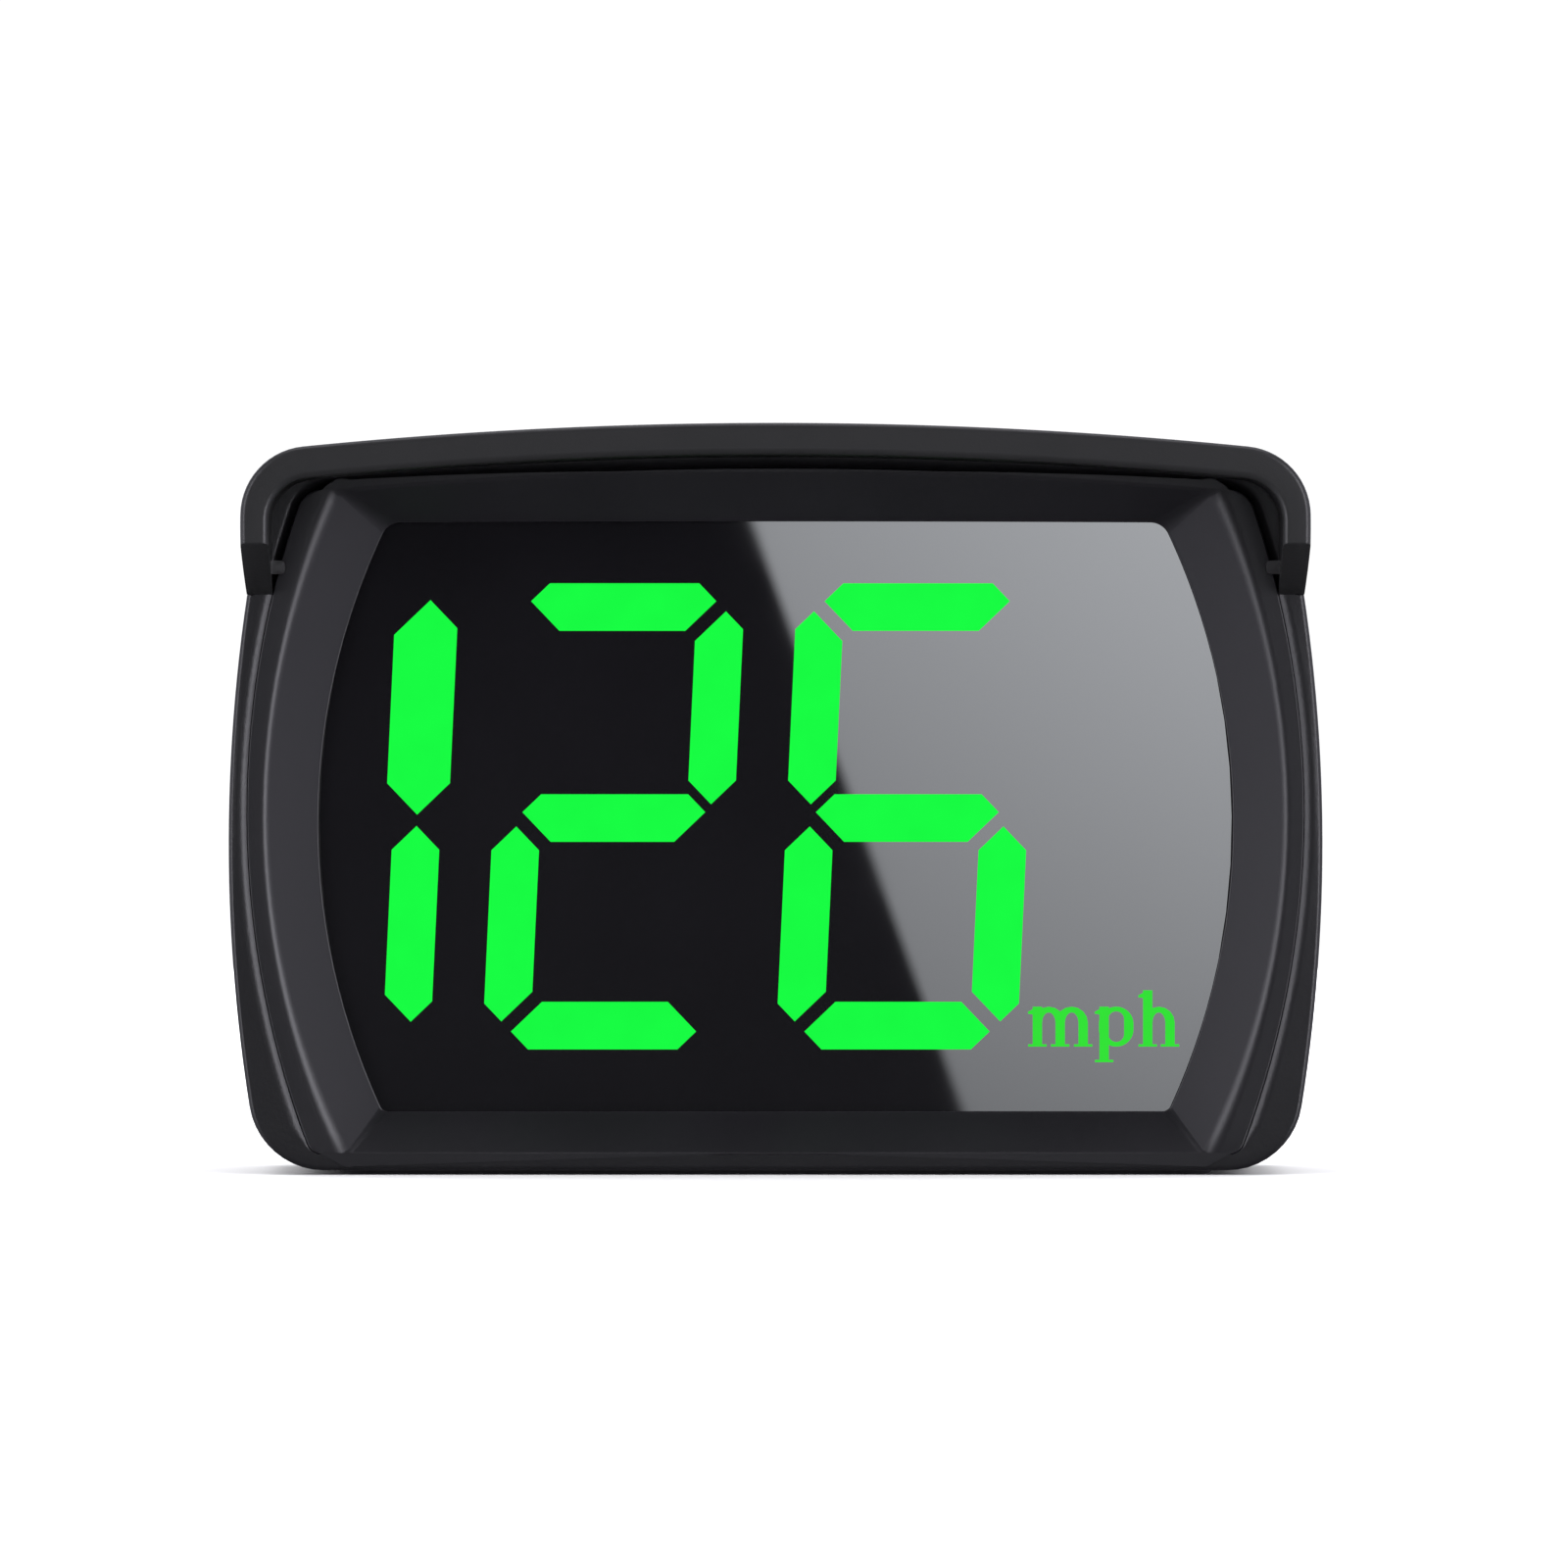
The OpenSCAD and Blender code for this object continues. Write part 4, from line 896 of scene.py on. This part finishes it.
# %% Cut the openings
hex_spots = [buzzer_at] + [buzzer_at + 2.4 * mm * np.array([np.cos(a), np.sin(a)])
                           for a in np.arange(6) * np.pi / 3]
combine(cover, [dish(button_at)], "DIFFERENCE")
cutters = [mouthed(disc_shape(button_at, 5.6 * mm), mouth_y=bowl_y(2.9 * mm)),
           mouthed(box_shape(slider_at, 5.6 * mm, 3.0 * mm, 0.3 * mm, 4)),
           mouthed(box_shape(socket_at, 9.44 * mm, 3.7 * mm, 1.84 * mm)),
           mouthed(box_shape(label_at, 28 * mm, 10 * mm, mm, 6), y0=back_y - 0.3 * mm)]
vent_z = head - 11.75 * mm
cutters += [mouthed(box_shape(np.array([x * mm, vent_z]), 1.2 * mm, 4.5 * mm, 0.55 * mm, 5))
            for x in (-8, -4, 0, 4, 8)]
cutters += [mouthed(disc_shape(p, 1.2 * mm, 24)) for p in hex_spots]
combine(cover, cutters, "DIFFERENCE")
settle(cover)
place(cover, "case", "case_plastic", "rear_cover")

# %% [markdown]
# ## Window panel
# The panel is gloss black acrylic with the light places moulded in flush. The packed
# diffusers already have the right faces, so the panel is a plain slab from which copies
# of them are taken away. The dark segments are left in the slab: unlit, they can't be
# told from it.

# %% Window panel
def packed_copy(name):
    """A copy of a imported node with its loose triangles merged, for use as a cutter."""
    source = frame["nodes"][name]
    work = bmesh.new()
    work.from_mesh(source.data)
    bmesh.ops.remove_doubles(work, verts=work.verts, dist=0.001 * mm)
    mesh = bpy.data.meshes.new(name + "_copy")
    work.to_mesh(mesh)
    work.free()
    obj = bpy.data.objects.new(name + "_copy", mesh)
    bpy.context.scene.collection.objects.link(obj)
    return obj


lens_y, lens_back_y = lens_low[1], lens_high[1]
panel_rows = [ring(window_line, lens_y, 0.7 * mm), ring(window_line, lens_y + 0.3 * mm, mm),
              ring(window_line, lens_back_y, mm)]
panel = capped_solid("window_panel", panel_rows)
lit_nodes = ("digit_hundreds", "digit_tens", "digit_units", "mph_legend")
combine(panel, [packed_copy(n) for n in lit_nodes], "DIFFERENCE")
panel.data.shade_flat()
place(panel, "case", "window_panel", "window_lens", "unlit_segments")
print("panel faces", len(panel.data.polygons))

# %% [markdown]
# ## Mode button
# The button is a turned cap, a little hollow on top so that a finger finds it. Its
# surface is a profile spun round an axis: two parameters, along the profile and round
# it. A cylinder with a bevel would be quicker, but flat on top.

# %% Button
def turned(name, centre, profile, steps=64):
    """A turned piece along Y. The profile is a list of (radius, depth) from pole to pole;
    a point is the centre plus radius times (cos, sin), at that depth."""
    profile = np.array(profile)
    a = np.linspace(0, 2 * np.pi, steps, endpoint=False)[None, :]
    r, y = profile[:, :1], profile[:, 1:]
    points = np.stack([centre[0] + r * np.cos(a), y + 0 * a, centre[1] + r * np.sin(a)], axis=-1)
    return capped_solid(name, list(points))


def button_profile():
    """A dished cap with a rounded rim, and the flange that keeps it in."""
    low, high = extent("mode_button")
    radius, flange_r, flange_t, edge = 2.5 * mm, (high[0] - low[0]) / 2, 0.7 * mm, 0.5 * mm
    pole_r, hollow = 0.05 * mm, 0.25 * mm
    cap = [(r, high[1] - hollow * (1 - (r / (radius - edge)) ** 2))
           for r in np.linspace(pole_r, radius - edge, 7)[:-1]]
    cap += [(radius - edge + edge * np.sin(u), high[1] - edge * (1 - np.cos(u)))
            for u in np.linspace(0, np.pi / 2, 8)]
    return cap + [(radius, low[1] + flange_t), (flange_r, low[1] + flange_t), (flange_r, low[1]),
                  (pole_r, low[1])]


button = place(turned("button_cap", button_at, button_profile()),
               "mode_button", "control_plastic", "mode_button")

# %% [markdown]
# ## Power slider
# The slider is a flat plate inside the cover, with a knob that looks out of the slot and
# three ridges for the thumb. It could be one extruded profile, but the knob's corners
# are round when seen from behind, so it is made of prisms joined together.

# %% Slider
slider_low, slider_high = extent("power_slider")
knob_at = middle("power_slider")
slider = prism("slider_knob", round_box(knob_at, 9 * mm, 4.4 * mm, 0.4 * mm, 4), slider_low[1],
               slider_low[1] + 0.7 * mm)
knob = prism("knob", round_box(knob_at, 3 * mm, 2.4 * mm, 0.3 * mm, 5), slider_low[1] + 0.5 * mm,
             slider_high[1] - 0.25 * mm)
ridges = [prism("ridge", round_box(knob_at + [k * 0.85 * mm, 0], 0.4 * mm, 2.2 * mm, 0.1 * mm, 3),
                slider_high[1] - 0.5 * mm, slider_high[1]) for k in (-1, 0, 1)]
combine(slider, [knob] + ridges, "UNION")
combine(slider, [prism("pocket", round_box(knob_at, 1.6 * mm, 1.6 * mm, 0.02 * mm, 2),
                       slider_low[1] - 0.2 * mm, slider_low[1] + 0.6 * mm)], "DIFFERENCE")
soften(slider, 0.08 * mm, limit=50)
place(slider, "power_slider", "control_plastic", "power_slider")

# %% [markdown]
# ## Pad
# The pad is a thin sheet of rubber under the case. All that shows of it is its edge, so
# a few rings that grow over a rounded edge are enough. A plain box would meet the
# floor with a knife edge and cast too sharp a line there.

# %% Pad
def pad_rows():
    """Round-cornered rectangles from the underside up, growing over a rounded edge."""
    low, high = extent("base_pad")
    centre, size = ((low + high) / 2)[:2], (high - low)[:2]
    edge, corner, rows = 0.2 * mm, 2 * mm, []
    for t in np.linspace(0, np.pi / 2, 6):
        inset, z = edge * (1 - np.sin(t)), low[2] + edge * (1 - np.cos(t))
        flat = round_box(centre, size[0] - 2 * inset, size[1] - 2 * inset, corner - inset, 12)
        rows.append(np.column_stack([flat, np.full(len(flat), z)]))
    rows.append(np.column_stack([flat, np.full(len(flat), high[2])]))
    return rows


pad = place(capped_solid("non_slip_pad", pad_rows()), "case", "pad_rubber", "base_pad")

# %% [markdown]
# ## Floor
# The piece stands on a large pale sheet, as in a product studio. A curved sweep would
# hide the horizon. Here floor and sky are equally white, so a flat sheet has no horizon
# to hide. It is left out of reflections, and only the contact shadow gives it away.

# %% Floor
FLOOR_HALF, FLOOR_Z = 3.0, -0.02 * mm
floor_mesh = bpy.data.meshes.new("studio_floor")
floor_corners = [(x * FLOOR_HALF, y * FLOOR_HALF, FLOOR_Z)
                 for x, y in ((-1, -1), (1, -1), (1, 1), (-1, 1))]
floor_mesh.from_pydata(floor_corners, [], [(0, 1, 2, 3)])
floor = bpy.data.objects.new("studio_floor", floor_mesh)
bpy.context.scene.collection.objects.link(floor)
floor_mesh.materials.append(finish("studio_white", (0.95, 0.95, 0.95), 0.6, grain=2.0, depth=0.01,
                                   tint=0.01, specular=0.0))
floor.visible_glossy = False
floor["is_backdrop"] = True
print("floor side", 2 * FLOOR_HALF, "m")

# %% [markdown]
# ## A world with two faces
# A black moulding looks like whatever surrounds it. In plain white surroundings it turns
# grey, so a studio puts dark flags in front and keeps bright walls at the sides. Flags
# could be modelled, but the Light Path node does it more simply. Camera and diffuse rays
# see white; glossy rays see a world that is dark in front and behind, bright at the sides.

# %% World
WHITE, FLAG, WALL = 1.08, 0.08, 0.72
COOL = (0.96, 0.94, 1.08, 1)
world = bpy.data.worlds.new("studio")
bpy.context.scene.world = world
world.use_nodes = True
tree = world.node_tree
path = node(tree, "ShaderNodeLightPath")
seen = node(tree, "ShaderNodeBackground", Color=(1, 1, 1, 1), Strength=WHITE)
sky_place = node(tree, "ShaderNodeTexCoord").outputs["Generated"]
way = node(tree, "ShaderNodeSeparateXYZ", {"Vector": sky_place})
sideways = node(tree, "ShaderNodeMath", {0: way.outputs["X"]}, operation="ABSOLUTE")
glossy_level = ramp(tree, sideways.outputs[0], 0.55, 0.95, FLAG, WALL)
mirrored = node(tree, "ShaderNodeBackground", {"Strength": glossy_level}, Color=COOL)
pick = node(tree, "ShaderNodeMixShader", {"Fac": path.outputs["Is Glossy Ray"]})
tree.links.new(seen.outputs[0], pick.inputs[1])
tree.links.new(mirrored.outputs[0], pick.inputs[2])
tree.links.new(pick.outputs[0], tree.nodes["World Output"].inputs["Surface"])

print("world: seen at", WHITE, "mirrored at", FLAG, "to", WALL)

# %% [markdown]
# ## Soft lights
# Two tall strips stand in front at the sides, at about 45 degrees. They draw the bright
# lines along the ridge and the lip, whose normals lean halfway towards them. Weak walls
# beside the piece lift the bevels, a box overhead the top, and a wide one behind gives
# the rear its shape. A lamp with a small head would draw dots where these draw lines.

# %% Lights
LAMP_COLOR = (0.98, 0.97, 1.05)
LIGHTS = [
    ("left_wall", (-0.6, 0.05, 0.10), (-0.1, 0.0, 0.03), 0.9, 0.3, 0.25),
    ("right_wall", (0.6, 0.05, 0.10), (0.1, 0.0, 0.03), 0.9, 0.3, 0.15),
    ("left_strip", (-0.50, -0.46, 0.12), (0, 0, case_mid), 0.22, 0.6, 1.8),
    ("right_strip", (0.46, -0.52, 0.12), (0, 0, case_mid), 0.24, 0.6, 2.9),
    ("top_box", (0.0, 0.0, 0.9), (0, 0, case_mid), 0.9, 0.5, 3.0),
    ("rear_wall", (0.0, 0.75, 0.35), (0, 0, case_mid), 1.3, 0.7, 6.0),
]


def soft_light(name, at, toward, width, height, power):
    """A rectangular light of some metres by metres and watts, at a point, facing another."""
    data = bpy.data.lights.new(name, "AREA")
    data.color = LAMP_COLOR
    data.shape = "RECTANGLE"
    data.size, data.size_y, data.energy = width, height, power
    lamp = bpy.data.objects.new(name, data)
    lamp.location = at
    lamp.rotation_euler = (Vector(toward) - Vector(at)).to_track_quat("-Z", "Y").to_euler()
    bpy.context.scene.collection.objects.link(lamp)


for row in LIGHTS:
    soft_light(*row)
print("lights", len(LIGHTS), "watts", sum(row[-1] for row in LIGHTS))

# %% [markdown]
# ## Camera
# The lens is long and far away, as in a catalogue picture: from 80 centimetres the rim
# of the hood hardly looks larger than the face behind it. A short lens close by would
# show the inside of the hood. The focal length follows from the width of the view,
# since the view's width is to the distance as the sensor is to the focal length.

# %% Camera
camera_data = bpy.data.cameras.new("camera")
camera = bpy.data.objects.new("camera", camera_data)
bpy.context.scene.collection.objects.link(camera)
bpy.context.scene.camera = camera
view_w, distance, sensor = 93.1 * mm, 0.8, 36
camera_data.sensor_width = sensor
camera_data.lens = sensor * distance / view_w
camera.location = (0.5 * mm, face_y - distance, 23.2 * mm)
camera.rotation_euler = (np.pi / 2, 0, 0)
bpy.context.scene.view_settings.view_transform = "Standard"
print("focal length %.0f mm" % camera_data.lens)

# %% [markdown]
# ## Reflection card
# The grey sheen on the window is a reflection with a leaning edge, so it is made as one:
# a card behind the camera that only glossy rays see. Painting the sheen on the panel
# would be easier, but it would stay there from every side. The window is a flat mirror,
# so every point of it sees one point of the card, and the edge can be placed exactly.

# %% Where the card stands
card_gap = 0.9


def on_card(x, z):
    """Where a point of the window sees the card: the ray from the camera to the point
    goes back from the mirror with the same slopes, for the card's distance."""
    reach = card_gap / (lens_y - camera.location[1])
    eye_x, eye_z = camera.location[0], camera.location[2]
    return x + (x - eye_x) * reach, z + (z - eye_z) * reach


card_low, card_high = on_card(-30 * mm, 2.2 * mm), on_card(30 * mm, 40.5 * mm)
card_mesh = bpy.data.meshes.new("reflection_card")
card_y = lens_y - card_gap
card_mesh.from_pydata([(card_low[0], card_y, card_low[1]), (card_high[0], card_y, card_low[1]),
                       (card_high[0], card_y, card_high[1]), (card_low[0], card_y, card_high[1])],
                      [], [(3, 2, 1, 0)])
card = bpy.data.objects.new("reflection_card", card_mesh)
bpy.context.scene.collection.objects.link(card)
card.visible_camera = card.visible_diffuse = card.visible_shadow = False
card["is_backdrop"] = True
print("card from", np.round(card_low, 3), "to", np.round(card_high, 3), "m")

# %% [markdown]
# ## The card's light
# The card is dark on one side of the leaning edge and bright on the other. It gets
# brighter towards the top and the right, as a lit wall near a lamp would. A faint haze
# rises from the foot. All of it is arithmetic on the card's own coordinates.

# %% Card light
EDGE_BLUR = 0.7 * mm
LEVEL_FOOT, LEVEL_TOP = 3.6, 7.1
SIDE_NEAR, SIDE_FAR = 0.93, 1.36
HAZE = 0.08
CARD_COLOR = (0.97, 1.0, 1.05, 1)
edge_top, edge_foot = on_card(-1.4 * mm, 38.9 * mm), on_card(11.2 * mm, 3.7 * mm)
glow = bpy.data.materials.new("card_glow")
glow.use_nodes = True
tree = glow.node_tree
tree.nodes.clear()
card_place = node(tree, "ShaderNodeTexCoord").outputs["Object"]
spot = node(tree, "ShaderNodeSeparateXYZ", {"Vector": card_place})
slope = (edge_foot[0] - edge_top[0]) / (edge_foot[1] - edge_top[1])
lean = node(tree, "ShaderNodeMath", {0: spot.outputs["Z"]}, operation="MULTIPLY_ADD")
lean.inputs[1].default_value = -slope
lean.inputs[2].default_value = slope * edge_top[1] - edge_top[0]
past = node(tree, "ShaderNodeMath", {0: spot.outputs["X"], 1: lean.outputs[0]}, operation="ADD")
soft_edge = ramp(tree, past.outputs[0], -EDGE_BLUR, EDGE_BLUR, 0, 1)
level = ramp(tree, spot.outputs["Z"], edge_foot[1], edge_top[1], LEVEL_FOOT, LEVEL_TOP)
side = ramp(tree, spot.outputs["X"], edge_top[0], card_high[0], SIDE_NEAR, SIDE_FAR)
gain = node(tree, "ShaderNodeMath", {0: level, 1: side}, operation="MULTIPLY")
haze = ramp(tree, spot.outputs["Z"], edge_foot[1], edge_top[1], HAZE, 0.0)
power = node(tree, "ShaderNodeMath", {0: gain.outputs[0], 1: soft_edge, 2: haze},
             operation="MULTIPLY_ADD")
emit = node(tree, "ShaderNodeEmission", {"Strength": power.outputs[0]}, Color=CARD_COLOR)
node(tree, "ShaderNodeOutputMaterial", {"Surface": emit.outputs[0]})
card_mesh.materials.append(glow)
print("edge leans %.1f degrees" % np.degrees(np.arctan(-slope)))

# %% [markdown]
# ## Compare the boxes and finish
# The new surfaces must not reach past the imported model, because other scenes place the
# part by its box. Looking at it from all sides would miss a tenth of a millimetre, so
# the imported box is taken from the new one and the difference is printed.

# %% Compare the boxes and finish
new_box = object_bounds()
growth = (np.array(new_box) - np.array(cad_box)) / mm
print("visual box less packed box, mm", growth.round(3).tolist())
